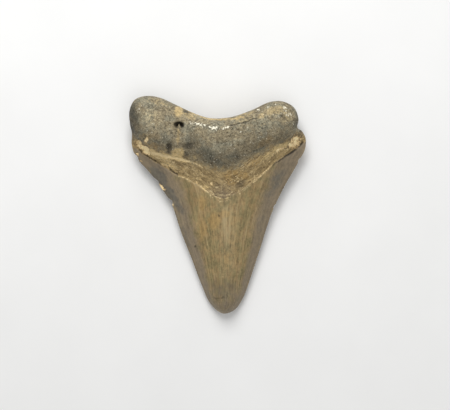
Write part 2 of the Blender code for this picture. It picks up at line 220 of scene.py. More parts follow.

# Cracks and seams: a path, the half breadth, the depth and how dark its seam is, partly painted shade along
# the crack.
LINGUAL_CRACKS = [
    ([(3.6, 21.3), (5.5, 21.7), (7.4, 22.2), (9.0, 22.8), (10.6, 23.3)], 0.15, 0.22, 0.75),
    ([(-21.4, 15.0), (-19.6, 13.6), (-18.0, 12.6), (-15.6, 11.3)], 0.17, 0.24, 0.8),
    ([(-16.4, 11.5), (-14.6, 10.6), (-12.4, 9.4)], 0.11, 0.14, 0.5),
    ([(-13.0, 9.6), (-12.0, 9.0), (-10.9, 8.3)], 0.20, 0.26, 0.7),
    ([(18.2, 13.1), (19.6, 14.1), (21.2, 15.3), (22.9, 17.0)], 0.26, 0.27, 0.95),
    ([(14.8, 10.8), (16.4, 11.9), (18.6, 13.4)], 0.15, 0.20, 0.75),
    ([(-1.7, 4.0), (-0.4, 2.6), (1.6, 2.0), (3.6, 2.5), (5.2, 3.8)], 0.22, 0.10, 0.3),
    ([(-0.7, 2.9), (0.6, 1.5), (2.2, 1.1), (3.7, 1.6)], 0.16, 0.07, 0.3),
]
LABIAL_CRACKS = [
    ([(-6.6, 10.9), (-6.1, 5.0), (-5.4, -2.0), (-4.1, -9.5)], 0.10, 0.07, 0.6),
    ([(2.6, 10.3), (2.9, 4.0), (2.4, -3.5), (2.5, -8.0)], 0.09, 0.06, 0.5),
    ([(10.4, 11.8), (9.4, 6.5), (7.9, 0.5)], 0.10, 0.07, 0.6),
    ([(-12.4, 12.3), (-11.5, 8.6), (-10.4, 4.9)], 0.09, 0.06, 0.5),
    ([(-1.6, 10.5), (-1.7, 7.6), (-1.4, 5.2)], 0.09, 0.06, 0.5),
    ([(-5.5, 22.0), (-2.0, 20.6), (1.8, 20.9), (5.0, 19.8)], 0.13, 0.16, 0.6),
    ([(-19.6, 17.2), (-17.4, 18.8), (-16.3, 21.4)], 0.12, 0.14, 0.5),
]
# Fresh facets broken out at the two shoulders: centre, half length, half breadth, direction and
# how much deeper they get for each millimetre to the right and to the root.
FACET_DEPTH, FACET_RIM = 0.12, (1.25, 0.75)  # at its centre; its slope, on the scale of ellipse()
FACETS = [
    ((-20.2, 15.3), 2.9, 1.0, -45.0, (0.15, 0.15)),
    ((20.8, 17.0), 2.2, 1.5, 52.0, (-0.15, 0.14)),
]
# The broken edges of the bourlette's layers: a path that each layer stands under, how high, and
# how far it reaches towards the tip.
FLAKE_FACE, FLAKE_END = 0.28, 1.4  # breadth of a layer's broken face, and of its fading ends
FLAKES = [
    ([(-18.8, 14.3), (-16.1, 13.7), (-14.3, 13.2), (-12.4, 12.9), (-10.2, 12.3), (-8.0, 12.0),
      (-5.9, 11.4), (-4.0, 10.2)], 0.24, 2.0),
    ([(-16.8, 12.2), (-14.6, 11.2), (-12.2, 10.3), (-9.8, 9.2), (-7.6, 8.2), (-5.8, 7.0)], 0.14, 0.9),
    ([(-3.6, 8.3), (-1.4, 6.8), (0.8, 6.2), (2.6, 6.6)], 0.10, 0.8),
    ([(5.4, 6.6), (8.0, 8.3), (10.6, 10.4), (13.4, 12.6), (16.4, 14.8)], 0.14, 0.8),
    ([(7.6, 10.4), (10.4, 12.2), (13.6, 14.3), (17.0, 16.4)], 0.10, 1.0),
]


def added(name, data):
    """A new object in the scene, with that mesh, light or camera."""
    item = bpy.data.objects.new(name, data)
    bpy.context.scene.collection.objects.link(item)
    return item


def step(x, start, end):
    """From 0 at the start to 1 at the end, level at both; the end may be the lower of them."""
    share = np.clip((x - start) / (end - start), 0.0, 1.0)
    return share * share * (3.0 - 2.0 * share)


def bump(x, reach):
    """1 at 0 and nearly nothing at twice the reach."""
    return np.exp(-((x / reach) ** 2))


def near(points, place, reach):
    """1 at the place, as bump() is."""
    return bump(np.linalg.norm(points - place, axis=1), reach)


def mix(a, b, share):
    return a + (b - a) * share


def rounded(share):
    """From 0 at the border to 1 inside, as the side of a rounded block."""
    return (1.0 - (1.0 - np.clip(share, 0.0, 1.0)) ** ROUNDING_POWER) ** (1.0 / ROUNDING_POWER)


def spline(points, spacing, closed=False):
    """A centripetal curve through the points, as a path with even steps of about spacing."""
    known = [np.array(p, float) for p in points]
    if closed:
        known = [known[-1], *known, known[0], known[1]]
    else:
        known = [2 * known[0] - known[1], *known, 2 * known[-1] - known[-2]]
    samples = []
    for four in zip(known, known[1:], known[2:], known[3:]):
        runs = [math.sqrt(np.linalg.norm(b - a)) for a, b in zip(four, four[1:])]
        knots = np.cumsum([0.0] + runs)
        steps = max(4, round(4 * np.linalg.norm(four[2] - four[1]) / spacing))
        for t in np.linspace(knots[1], knots[2], steps, endpoint=False):
            row = four
            for span in (1, 2):
                shares = [(t - knots[k]) / (knots[k + span] - knots[k]) for k in range(4 - span)]
                row = [mix(a, b, s) for a, b, s in zip(row, row[1:], shares)]
            samples.append(mix(*row, (t - knots[1]) / (knots[2] - knots[1])))
    samples.append(samples[0] if closed else known[-2])
    path = np.array(samples)
    along = np.concatenate([[0.0], np.cumsum(np.linalg.norm(np.diff(path, axis=0), axis=1))])
    wanted = np.linspace(0.0, along[-1], max(2, round(along[-1] / spacing)) + 1)
    even = np.column_stack([np.interp(wanted, along, path[:, k]) for k in (0, 1)])
    return even[:-1] if closed else even


def distance(points, path, closed=False):
    """How far each point lies from the path."""
    ends = np.roll(path, -1, axis=0)
    count = len(path) if closed else len(path) - 1
    x, y = points.T
    nearest = np.full(len(points), np.inf)
    for (start_x, start_y), (run_x, run_y) in zip(path[:count], (ends - path)[:count]):
        dx, dy = x - start_x, y - start_y
        share = np.clip((dx * run_x + dy * run_y) / (run_x**2 + run_y**2), 0.0, 1.0)
        nearest = np.minimum(nearest, (dx - share * run_x) ** 2 + (dy - share * run_y) ** 2)
    return np.sqrt(nearest)


def stretch(path, start, end):
    """The part of a closed path from its point nearest the start on to the one nearest the end."""
    first, last = (int(np.argmin(np.linalg.norm(path - place, axis=1))) for place in (start, end))
    return np.roll(path, -first, axis=0)[:(last - first) % len(path) + 1]


def normals_inward(path):
    """The inward unit normal at each point of a counter-clockwise closed path."""
    along = np.roll(path, -1, axis=0) - np.roll(path, 1, axis=0)
    along /= np.linalg.norm(along, axis=1)[:, None]
    return np.column_stack([-along[:, 1], along[:, 0]])


def inside(points, path):
    """Which points lie inside a closed path, by counting crossings."""
    found = np.zeros(len(points), bool)
    x, y = points.T
    for (x0, y0), (x1, y1) in zip(path, np.roll(path, -1, axis=0)):
        crosses = (y0 > y) != (y1 > y)
        if y0 != y1:
            found ^= crosses & (x < (x1 - x0) * (y - y0) / (y1 - y0) + x0)
    return found


def noise_at(points, size, offset=0.0):
    """Perlin noise from -1 to 1 at each point; size may differ along the axes."""
    places = np.zeros((len(points), 3))
    places[:, : points.shape[1]] = points
    places = places / size + [offset, -offset, 0.7 * offset]
    return np.array([noise.noise(Vector(p)) for p in places])


def cells_at(points, size):
    """Distance from each point to the middle of its nearest cell, in cell sizes."""
    return np.array([noise.voronoi(Vector(p))[0][0] for p in points / size])


class Plan:
    """The tooth seen from above: its outline, its cutting edges and the lines across it."""

    def __init__(self):
        whole = RIGHT_EDGE + RIGHT_LOBE + ROOT_ARCH + LEFT_LOBE + LEFT_EDGE
        self.smooth = spline(whole, EDGE_SPACING, closed=True)
        self.inward = normals_inward(self.smooth)
        self.notches = serrations(self.smooth)
        bites = chips(self.smooth) + SERRATION_DEPTH * self.notches
        self.outline = self.smooth + self.inward * bites[:, None]
        coarse = spline(whole, PATH_SPACING, closed=True)
        self.chipped = coarse + normals_inward(coarse) * chips(coarse)[:, None]
        self.right_edge = stretch(coarse, RIGHT_EDGE[0], RIGHT_LOBE[2])
        self.left_edge = stretch(coarse, LEFT_LOBE[-2], RIGHT_EDGE[0])
        self.lingual_enamel = spline(LINGUAL_ENAMEL, PATH_SPACING)
        self.labial_enamel = spline(LABIAL_ENAMEL, PATH_SPACING)
        self.root_foot = spline(ROOT_FOOT, PATH_SPACING)


def chips(path):
    """How far the chips bite into each point of the outline."""
    depth = np.zeros(len(path))
    for place, width, most in EDGE_CHIPS:
        depth += most * near(path, place, width / 2)
    return depth


def serrations(path):
    """1 in the notches between the worn serrations of both cutting edges, and 0 elsewhere."""
    along = np.arange(len(path)) * EDGE_SPACING
    wander = 0.35 * noise_at(path, 3.0, 5.0)
    wave = np.abs(np.sin(math.pi * (along / SERRATION_PITCH + wander)))
    wear = np.clip(0.55 + 0.9 * noise_at(path, 4.0, 21.0), LEAST_SERRATED, 1.0)
    on_crown = step(path[:, 1], *SERRATION_SPAN)
    off_tip = step(path[:, 1], *SERRATED_TIP_SPAN)
    return (1.0 - wave) ** SERRATION_SHARPNESS * wear * on_crown * mix(WORN_TIP, 1.0, off_tip)


class Fields:
    """What the height and the finish are worked out from, at a set of points in plan."""

    def __init__(self, points, plan, lingual):
        self.points = points
        self.x, self.y = points.T
        self.border = distance(points, plan.chipped, closed=True)
        left = distance(points, plan.left_edge)
        right = distance(points, plan.right_edge)
        self.width = np.maximum(left + right, 1e-6)
        self.across = (left - right) / self.width
        self.middle = 4.0 * left * right / self.width**2
        self.over_enamel = above_line(plan.lingual_enamel if lingual else plan.labial_enamel, points)
        self.over_foot = above_line(plan.root_foot, points)
        self.on_bone = step(self.over_enamel, 0.0, WAVES_OVER_ENAMEL)
        self.on_bone *= step(self.border, 0.0, WAVES_FROM_BORDER)


def above_line(line, points):
    """How far each point lies from a line across the tooth, negative on the tip's side."""
    over = points[:, 1] - np.interp(points[:, 0], line[:, 0], line[:, 1])
    return np.sign(over) * distance(points, line)


def edge_height(points):
    """Height of the outline: the cutting edge of the crown, and the middle of the root's sides."""
    x, y = points.T
    crown = mix(TIP_EDGE, SHOULDER_EDGE, (y - TIP_Y) / (SHOULDER_Y - TIP_Y))
    over_shoulder = step(y, SHOULDER_Y - 2.0, LOBE_Y)
    arch = ARCH_EDGE_LIFT * bump(x, ARCH_REACH) * step(y, *ARCH_SPAN)
    return crown + (LOBE_EDGE - SHOULDER_EDGE) * over_shoulder + arch


def ellipse(points, place, half_length, half_breadth, degrees):
    """Distance of each point from the place, 1 on the ellipse's rim."""
    turn = math.radians(degrees)
    x, y = (points - place).T
    along = (x * math.cos(turn) + y * math.sin(turn)) / half_length
    across = (y * math.cos(turn) - x * math.sin(turn)) / half_breadth
    return np.hypot(along, across)


def hollow(points, place, half_length, half_breadth, degrees, depth):
    """A smooth dish of that depth, in plan an ellipse."""
    out = ellipse(points, place, half_length, half_breadth, degrees)
    return depth * step(out, HOLLOW_FLOOR + 1.0, HOLLOW_FLOOR)


def waves(points, size, height, offset):
    """Slow waves of the bone's surface, up and down by that height."""
    return height * np.array([noise.noise(Vector((x, y, offset))) for x, y in points / size])


def lingual_height(at):
    """The bulging upper face, with the root's boss, the bourlette and the enamel's ledge."""
    points, x, y, border = at.points, at.x, at.y, at.border
    edge = edge_height(points)
    rise = CROWN_RISE * (at.width / CROWN_BASE_WIDTH) ** CROWN_TAPER
    crown = edge + rise * at.middle**CROWN_SWELL
    top = LOBE_TOP + BOSS_RISE * bump(x - BOSS_X, BOSS_REACH) - CREST_FALL * np.abs(y - CREST_Y)
    top += LOBE_SWELL * near(points, LOBE_SWELL_AT, LOBE_SWELL_REACH)
    root = edge + (top - edge) * rounded(border / LINGUAL_ROUNDING)
    along_arch = bump(x - BOSS_X, RIDGE_REACH) * step(y, *RIDGE_SPAN)
    root += BASAL_RIDGE * bump(border - RIDGE_INSET, RIDGE_BREADTH) * along_arch
    reach = ROOT_BLEND + MIDDLE_BLEND * bump(x, MIDDLE_REACH)
    reach = np.maximum(at.over_enamel - at.over_foot + reach, LEAST_BLEND)
    face = mix(crown, root, step(at.over_enamel, 0.0, reach))
    trough = step(at.over_enamel, 0.0, STEP_RUN) * step(at.over_foot, *TROUGH_SPAN)
    worn = 1.0 - APEX_WEAR * near(points, APEX, APEX_REACH)
    face -= ENAMEL_STEP * worn * trough * step(border, 0.0, STEP_FADE)
    for shape in HOLLOWS:
        face -= hollow(points, *shape) * rounded(border / HOLLOW_FADE)
    face += waves(points, *LINGUAL_WAVES) * at.on_bone
    return face - hollow(points, *FORAMEN)


def labial_height(at):
    """The flatter lower face: it lies on the crown's middle and on both root lobes."""
    points, x, y, border = at.points, at.x, at.y, at.border
    edge = edge_height(points)
    off_middle = np.sqrt(np.clip(1.0 - at.middle, 0.0, 1.0))
    rise = np.clip((off_middle - FLAT_SHARE) / (1.0 - FLAT_SHARE), 0.0, 1.0) ** 2
    lift = TIP_LIFT * (np.clip(TIP_LIFT_FROM - y, 0.0, None) / TIP_LIFT_RUN) ** 2
    crown = edge * rise + lift * (1.0 - rise)
    on_lobe = bump(np.hypot(np.abs(x) - REST_X, REST_LENGTH * (y - REST_Y)), REST_REACH)
    floor = LABIAL_DISH * np.clip(1.0 - REST_FLAT * on_lobe, 0.0, 1.0)
    root = edge - (edge - floor) * rounded(border / LABIAL_ROUNDING)
    face = mix(crown, root, step(at.over_enamel, *LABIAL_BLEND_SPAN))
    ledge = step(at.over_enamel, 0.0, STEP_RUN) * step(at.over_enamel, *LABIAL_STEP_SPAN)
    face += LABIAL_STEP * ledge * rounded(border / STEP_FADE)
    lifted = np.clip(waves(points, *LABIAL_WAVES) + LABIAL_WAVE_LIFT, 0.0, None)
    face += lifted * at.on_bone * (1.0 - on_lobe)
    return np.maximum(face, 0.0)


def ragged(points):
    """The same points, moved a little by noise, so that rims drawn with them are uneven."""
    shift = [
        noise_at(points, RAGGED_SIZE, offset) + 0.5 * noise_at(points, RAGGED_SIZE / 2.4, offset)
        for offset in (41.0, 57.0)
    ]
    return points + RAGGED * np.column_stack(shift)


def line_mark(points, path, half_breadth):
    """1 on the path and 0 well off it."""
    return bump(distance(points, spline(path, PATH_SPACING)), half_breadth)


def under_edge(points, path):
    """How far each point lies on the tip's side of the path, and 1 there but 0 past its ends."""
    edge = spline(path, PATH_SPACING)
    first, last = edge[0, 0], edge[-1, 0]
    x, y = points.T
    ends = step(x, first, first + FLAKE_END) * step(x, last, last - FLAKE_END)
    return np.interp(x, *edge.T) - y, ends


def relief(at, solid, notches, chipped, lingual):
    """How far the fine surface stands over the plain form, along its normal."""
    points, uneven = at.points, ragged(at.points)
    on_root = step(at.over_foot, -0.6, 0.8) if lingual else step(at.over_enamel, 0.0, 0.8)
    on_enamel = step(at.over_enamel, 0.25, 0.0)
    on_bourlette = np.clip(1.0 - on_root - on_enamel, 0.0, 1.0)
    grain = 0.55 * noise_at(solid, 0.75, 3.0) + 0.45 * noise_at(solid, 0.40, 9.0)
    pores = step(cells_at(solid, PORE_SPACING), *PORE_RIM) * step(noise_at(solid, 2.6, 31.0), *PORED_NOISE)
    bone = BONE_GRAIN * (grain + 0.8 * noise_at(solid, 2.1, 63.0)) - BONE_PORE * pores
    layers = np.column_stack([at.over_enamel / LAYER_THICKNESS, at.x / LAYER_LENGTH])
    flakes = BOURLETTE_GRAIN * (noise_at(layers, 1.0, 13.0) + grain)
    lines = np.column_stack([at.across * STRIAE_ACROSS, at.y / STRIAE_LENGTH])
    striae = ENAMEL_STRIAE * (noise_at(lines, 1.0, 17.0) + 0.5 * noise_at(lines * [2.3, 1.0], 1.0, 23.0))
    striae *= step(at.width, *STRIAE_WIDTH_SPAN)
    height = on_root * bone + on_bourlette * flakes + on_enamel * striae
    height -= SERRATION_RIPPLE * notches
    for path, half_breadth, depth, _ in LINGUAL_CRACKS if lingual else LABIAL_CRACKS:
        height -= depth * line_mark(mix(points, uneven, CRACK_SHARE), path, half_breadth)
    height -= step(chipped, *CHIP_SPAN) * (CHIP_DEPTH - CHIP_ROUGH * grain)
    if lingual:
        for *shape, lean in FACETS:
            depth = np.clip(FACET_DEPTH + (points - shape[0]) @ np.array(lean), 0.0, None)
            height -= depth * step(ellipse(uneven, *shape), *FACET_RIM)
        for path, most, reach in FLAKES:
            under, ends = under_edge(uneven, path)
            height += most * ends * step(under, 0.0, FLAKE_FACE) * step(under, reach, 0.0)
        height += APEX_GRAIN * near(points, APEX, APEX_GRAIN_REACH) * grain
        height += STONE_HEIGHT * near(points, STONE_PLACE, STONE_SIZE)
    else:
        height -= LABIAL_SINK * (on_root * BONE_GRAIN + on_enamel * ENAMEL_STRIAE)
    height *= step(at.border, *RIM_SPAN)
    thick = step(at.y, *THICK_SPAN)
    return np.maximum(height, -mix(THIN_SHARE * at.border, 1.0, thick))


# ---- The mesh ----

def strip_rings(plan):
    """Rings from the outline inwards. Round the root they crowd towards the outline."""
    inner = plan.smooth + plan.inward * STRIP_BREADTH
    steep = step(plan.smooth[:, 1], *STEEP_SPAN)
    power = mix(1.0, STEEP_POWER, steep)[:, None]
    return [mix(plan.outline, inner, (k / STRIP_RINGS) ** power) for k in range(STRIP_RINGS + 1)]


def lattice(ring, spacing, ledge):
    """Even points inside the ring, and two joined rows of them along the ledge."""
    def within(points):
        points = points[inside(points, ring)]
        return points[distance(points, ring, closed=True) > RING_GAP * spacing]

    ledges = [ledge + [0.0, side] for side in (0.0, STEP_RUN)]
    rows, joined = [], []
    for row in ledges:
        row = within(row)
        first = sum(map(len, rows))
        joined += [(k, k + 1) for k in range(first, first + len(row) - 1)]
        rows.append(row)
    low, high = ring.min(axis=0), ring.max(axis=0)
    points = within(np.array([
        (x + (spacing / 2 if odd % 2 else 0.0), y)
        for odd, y in enumerate(np.arange(low[1], high[1], spacing * math.sqrt(3) / 2))
        for x in np.arange(low[0], high[0], spacing)
    ]))
    for row in ledges:
        points = points[distance(points, row) > LEDGE_GAP * spacing]
    return np.vstack(rows + [points]), joined


def face_sheet(plan, rings, spacing, lingual):
    """Points in plan and faces of one side of the tooth; the first ring is the outline."""
    line = LINGUAL_ENAMEL if lingual else LABIAL_ENAMEL
    fill, joined = lattice(rings[-1], spacing, spline(line, spacing))
    count = len(rings[-1])
    kept = [(k, (k + 1) % count) for k in range(count)] + [(count + a, count + b) for a, b in joined]
    flat = [Vector(p) for p in np.vstack([rings[-1], fill])]
    made = delaunay_2d_cdt(flat, kept, [list(range(count))], 1, 1e-6)
    placed = np.array([tuple(v) for v in made[0]])
    points = np.vstack(rings[:-1] + [placed])
    first = count * (len(rings) - 1)
    faces = [[first + c for c in face] for face in made[2]]
    for ring in range(len(rings) - 1):
        start = ring * count
        faces += [
            [start + k, start + (k + 1) % count, start + count + (k + 1) % count, start + count + k]
            for k in range(count)
        ]
    return points, faces


def blunted(z, points, faces, count):
    """The heights with the point of the tip worn smooth; those of the outline stay."""
    share = TIP_SMOOTHING * near(points, RIGHT_EDGE[0], TIP_REACH)
    share[:count] = 0.0
    touched = share > 0.01
    pairs = {
        (a, b) for face in faces for a, b in zip(face, face[1:] + face[:1]) if touched[a] or touched[b]
    }
    pairs = np.array(sorted(pairs | {(b, a) for a, b in pairs}))
    ways = np.maximum(np.bincount(pairs[:, 0], minlength=len(z)), 1)
    for _ in range(TIP_ROUNDS):
        around = np.bincount(pairs[:, 0], weights=z[pairs[:, 1]], minlength=len(z)) / ways
        z = np.where(touched, mix(z, around, share), z)
    return z


def normals_of(solid, faces):
    """Unit normals of the points, from the triangles and squares round them."""
    total = np.zeros_like(solid)
    for corners in (3, 4):
        rows = np.array([face for face in faces if len(face) == corners])
        one, other = solid[rows[:, 2]] - solid[rows[:, 0]], solid[rows[:, -1]] - solid[rows[:, 1]]
        for corner in range(corners):
            np.add.at(total, rows[:, corner], np.cross(one, other))
    return total / np.maximum(np.linalg.norm(total, axis=1), 1e-12)[:, None]


# Stains of the two faces, with painted shade among the dark patches and painted glints among the flecks,
# each an ellipse: its middle's x and y, half length, half breadth, direction in degrees, and amount.
LINGUAL_STAINS = {
    "tan": [
        (-10.4, 25.2, 1.9, 1.3, 80, 0.95), (-7.8, 23.8, 2.6, 0.9, -25, 0.55), (-19.2, 18.4, 2, 0.8, 0, 0.5),
        (-10.5, 18.2, 3, 0.5, 90, 0.75), (-10.6, 13.9, 1.9, 1.35, 0, 1.3), (-4.4, 24.2, 2.4, 0.6, -20, 1.2),
        (0.6, 23.2, 2.8, 0.6, -3, 1.1), (5.2, 23.3, 2.6, 0.5, 8, 0.9), (9, 24.6, 2, 0.45, 25, 0.6),
        (-17.8, 23.6, 2.7, 2.4, 0, 0.25), (-15.6, 27.4, 3.2, 0.95, -15, 0.4),
        (-11.6, 12.7, 5.4, 0.6, -18, 0.75), (15.2, 25.2, 3.5, 1.35, 10, 0.55),
        (18.4, 23.6, 1.6, 1.8, 0, 0.45), (11.7, 23.9, 1.6, 0.7, 30, 0.6), (-17.4, 14.6, 1.8, 0.6, -20, 0.8),
        (-15.2, 13, 3.2, 0.8, -18, 0.85), (-13.6, 11.3, 3, 0.7, -28, 0.65),
        (16.8, 15.4, 3.3, 1.1, 30, 0.85), (13.4, 13.2, 3, 0.9, 34, 0.65), (-5.9, 12.8, 1.4, 0.8, -10, 0.6),
        (-3.4, 4.6, 1, 0.9, 0, 0.7), (6.6, 22.4, 4, 0.9, 20, 0.35), (-4.6, 8.2, 1.4, 2.2, 0, 0.35),
        (9.6, 15.4, 2.4, 0.8, 20, 0.35), (-18, 13.8, 1.6, 0.7, -30, 0.8),
    ],
    "dark": [
        # The first two dark patches lie in pits of the bone: a dark stain with painted shade in the pits.
        (-13, 15.3, 1.6, 0.85, 80, 1), (-7.6, 15.8, 1.8, 1.2, 0, 0.9), (-8.4, 13.6, 0.95, 1.1, 0, 0.7),
        (19.8, 19.4, 2.7, 1.1, 25, 0.22), (-6.4, 17, 2.2, 1.8, 0, 0.55), (17.9, 17.7, 1.9, 0.8, 30, 0.4),
        (5.9, 5.5, 1.8, 1.2, 35, 0.9), (0, 5, 2.2, 1.2, 0, 0.45), (0.8, 3.2, 2.4, 0.6, 0, 0.4),
        (0.3, -2.8, 0.34, 0.3, 0, 1.6), (-6.1, -11.2, 0.5, 0.35, 30, 1.1), (-3.1, -9.4, 0.3, 0.9, 0, 0.5),
        (-0.4, -25.1, 1, 0.32, -4, 0.8), (1.3, -25, 0.8, 0.28, 12, 0.75), (2.4, -24.4, 0.3, 1.2, 0, 0.7),
        (1.9, -22.6, 0.3, 1.3, -8, 0.55), (0.2, -24.2, 1.5, 0.9, 0, 0.4), (1.2, -21.6, 4.4, 2.6, 0, 0.42),
        # The patches at (-23.6, 23) and (21.6, 24) darken the outer sides of the lobes: painted shadow.
        (-7, 1, 1.8, 3.6, 0, 0.32), (-21, 17.4, 1.1, 0.8, 0, 0.5), (-23.6, 23, 2.6, 6.4, 0, 0.75),
        (21.6, 24, 0.9, 3, 0, 0.45), (22.4, 19.6, 0.8, 1.2, 0, 0.8), (-8.2, 24.9, 1.2, 0.5, -20, 0.8),
        (-0.6, 1.2, 1.2, 0.35, -50, 0.45), (1.9, 0.4, 0.9, 0.3, 80, 0.45), (-1.9, 1.6, 0.8, 0.3, -60, 0.4),
    ],
    "ochre": [
        (4, 7.4, 2.6, 2.2, 10, 0.95), (6.8, 8, 1.6, 1.1, 0, 1), (9.6, 11.2, 2.6, 0.9, 35, 0.6),
        (-4.2, 0.4, 2.4, 1, 88, 0.8), (-4, -6.6, 3.2, 1.2, 88, 0.8), (-0.9, -4.2, 2.6, 1.7, 80, 1),
        (1.6, -2.4, 2.4, 1.2, 0, 0.6), (4, -4, 1.6, 2.2, 0, 0.4), (2.2, -14.8, 2.9, 0.8, 90, 0.5),
        (-7.5, 11.7, 2.7, 0.7, -15, 0.5), (-17, 16, 1.7, 0.6, -20, 0.8), (12.6, 17, 2.8, 1.2, 30, 0.7),
        (-16.8, 18.2, 2.4, 1, -5, 0.5),
    ],
    "cool": [
        (-16.1, 7.9, 3.4, 1.5, -45, 1), (-12.6, 3, 3, 1.2, -55, 0.9), (-10.6, -0.4, 2.4, 1, -62, 0.7),
        (-9.6, -6.5, 6.4, 0.7, -68, 0.4), (16, 6.8, 4.2, 1.7, 58, 0.6), (11.6, -5.3, 6, 0.6, 70, 0.2),
        (0.8, -23.2, 4, 3, 0, 0.45),
    ],
    "cream": [
        (-20.6, 15.7, 2.6, 0.72, -45, 0.95), (-19.6, 14.8, 1.5, 0.8, -48, 1.5),
        (-19, 17.2, 0.75, 0.42, 80, 1.15), (20.9, 17.1, 2.1, 1.5, 52, 0.72), (21.3, 17.9, 0.6, 0.5, 0, 1.5),
        (21, 16.9, 0.6, 0.45, 70, 1.5), (19.8, 16.1, 0.6, 0.5, 30, 1.35), (16.3, 14.7, 0.75, 0.5, 30, 1.3),
        (17.6, 15.3, 0.9, 0.35, 30, 0.7), (-15.3, 5, 1.5, 0.5, -48, 0.95),
        (-12.3, -0.2, 1.1, 0.3, -76, 0.85), (-14.4, 10.7, 1.2, 0.3, -28, 0.8),
        (-1.8, 5.9, 0.35, 0.3, 0, 0.9), (-5.7, 6.1, 0.35, 0.4, 0, 0.85), (-21.8, 13.9, 0.5, 0.3, -45, 0.8),
        (-20.7, 12, 0.5, 0.25, -45, 0.75),
    ],
    "pale": [
        (-10.6, 13.7, 1.8, 1.4, 0, 0.9), (-3.9, 23.9, 2.7, 0.8, -18, 0.9), (2.6, -4.5, 1.7, 6.4, 0, 0.5),
        (-17.6, 23.6, 2.6, 2.8, 0, 0.8), (13.6, 22.8, 2.6, 2.2, 30, 0.5), (19, 23, 1.6, 2.4, 0, 0.5),
    ],
    # Pale flecks on the root's top, partly the bone's specks and partly painted glints.
    "fleck": [
        (-20.8, 25.6, 2.2, 1.1, 40, 0.4), (18.6, 24.2, 2.2, 2.6, 0, 0.5), (-4, 23.2, 3, 0.8, -15, 0.45),
        (10.7, 25.5, 0.5, 0.35, 20, 1.2), (13.6, 26.1, 0.35, 0.3, 20, 1), (17.8, 26, 0.5, 0.35, -20, 1.3),
        (18.2, 24.1, 0.35, 0.3, 0, 1.1), (19.3, 24.4, 0.3, 0.7, 0, 1.1), (20.3, 21.7, 0.3, 0.4, 0, 1),
        (15.4, 27, 0.7, 0.25, 10, 0.9), (6, 19.6, 0.3, 0.3, 0, 1.1), (-1, 20.6, 0.9, 0.3, -5, 1.3),
        (2.2, 20.6, 0.6, 0.3, 5, 1.3), (-21, 24.8, 0.6, 0.5, 0, 0.9),
    ],
}
LABIAL_STAINS = {
    "tan": [
        (-15.5, 21, 3.6, 2.2, 20, 0.6), (6, 18, 4.2, 1.6, -12, 0.55), (17.5, 24, 2.4, 1.6, 30, 0.7),
        (-3, 22, 4.6, 0.9, 0, 0.7), (-20.5, 25.5, 1.6, 2, 0, 0.5),
    ],
    "dark": [
        (-8, 17, 3.6, 2.2, 10, 0.45), (13.5, 18.6, 3.4, 1.8, -15, 0.5), (20.6, 20, 1.6, 3, 0, 0.45),
        (0.5, 13, 5, 1.1, 3, 0.4), (1.6, -23, 2.6, 1.8, 0, 0.45), (-4.6, -4, 0.6, 2.4, 8, 0.4),
        (6, 3, 0.45, 0.35, 0, 0.9), (-9.4, 7, 0.4, 0.3, 0, 0.8), (3.6, -9.8, 0.5, 1.8, 0, 0.35),
    ],
    "ochre": [
        (-3, 4, 2.4, 5.2, 4, 0.8), (5.6, -2, 1.6, 6.2, 4, 0.6), (0, 11.4, 9, 0.8, 0, 0.7),
        (-12.6, 11.8, 2.6, 0.9, -18, 0.6),
    ],
    "cool": [
        (-15, 6.5, 3.6, 1.6, -50, 0.8), (14.6, 4.6, 4.6, 1.6, 62, 0.8), (-8.6, -8, 5.6, 0.9, -68, 0.6),
    ],
    "cream": [
        (-12.6, 0.2, 1, 0.4, -76, 0.9), (-16.2, 6, 1.3, 0.5, -50, 0.9), (22, 13.6, 1.2, 0.6, 60, 0.95),
        (-19.4, 19.6, 1.1, 0.6, 30, 0.9), (11.2, 13.1, 0.9, 0.4, 10, 0.85), (-0.6, 11.2, 0.6, 0.3, 0, 0.8),
    ],
    "pale": [
        (1, -6, 2.6, 7.6, 0, 0.6), (-14, 24, 3.4, 2.2, 10, 0.5),
    ],
    "fleck": [
        (-6, 20.6, 5, 1.2, -10, 0.5), (14, 22, 3.2, 2, 20, 0.5),
    ],
}
# A line of pale flecks along the root's ridge, partly painted glints.
FLECK_BREADTH = 0.6
FLECK_AND_GLINT_LINE = [(-7.5, 22.2), (-4.5, 21.6), (-1.6, 20.6), (1.1, 20.4), (3.2, 20.6)]
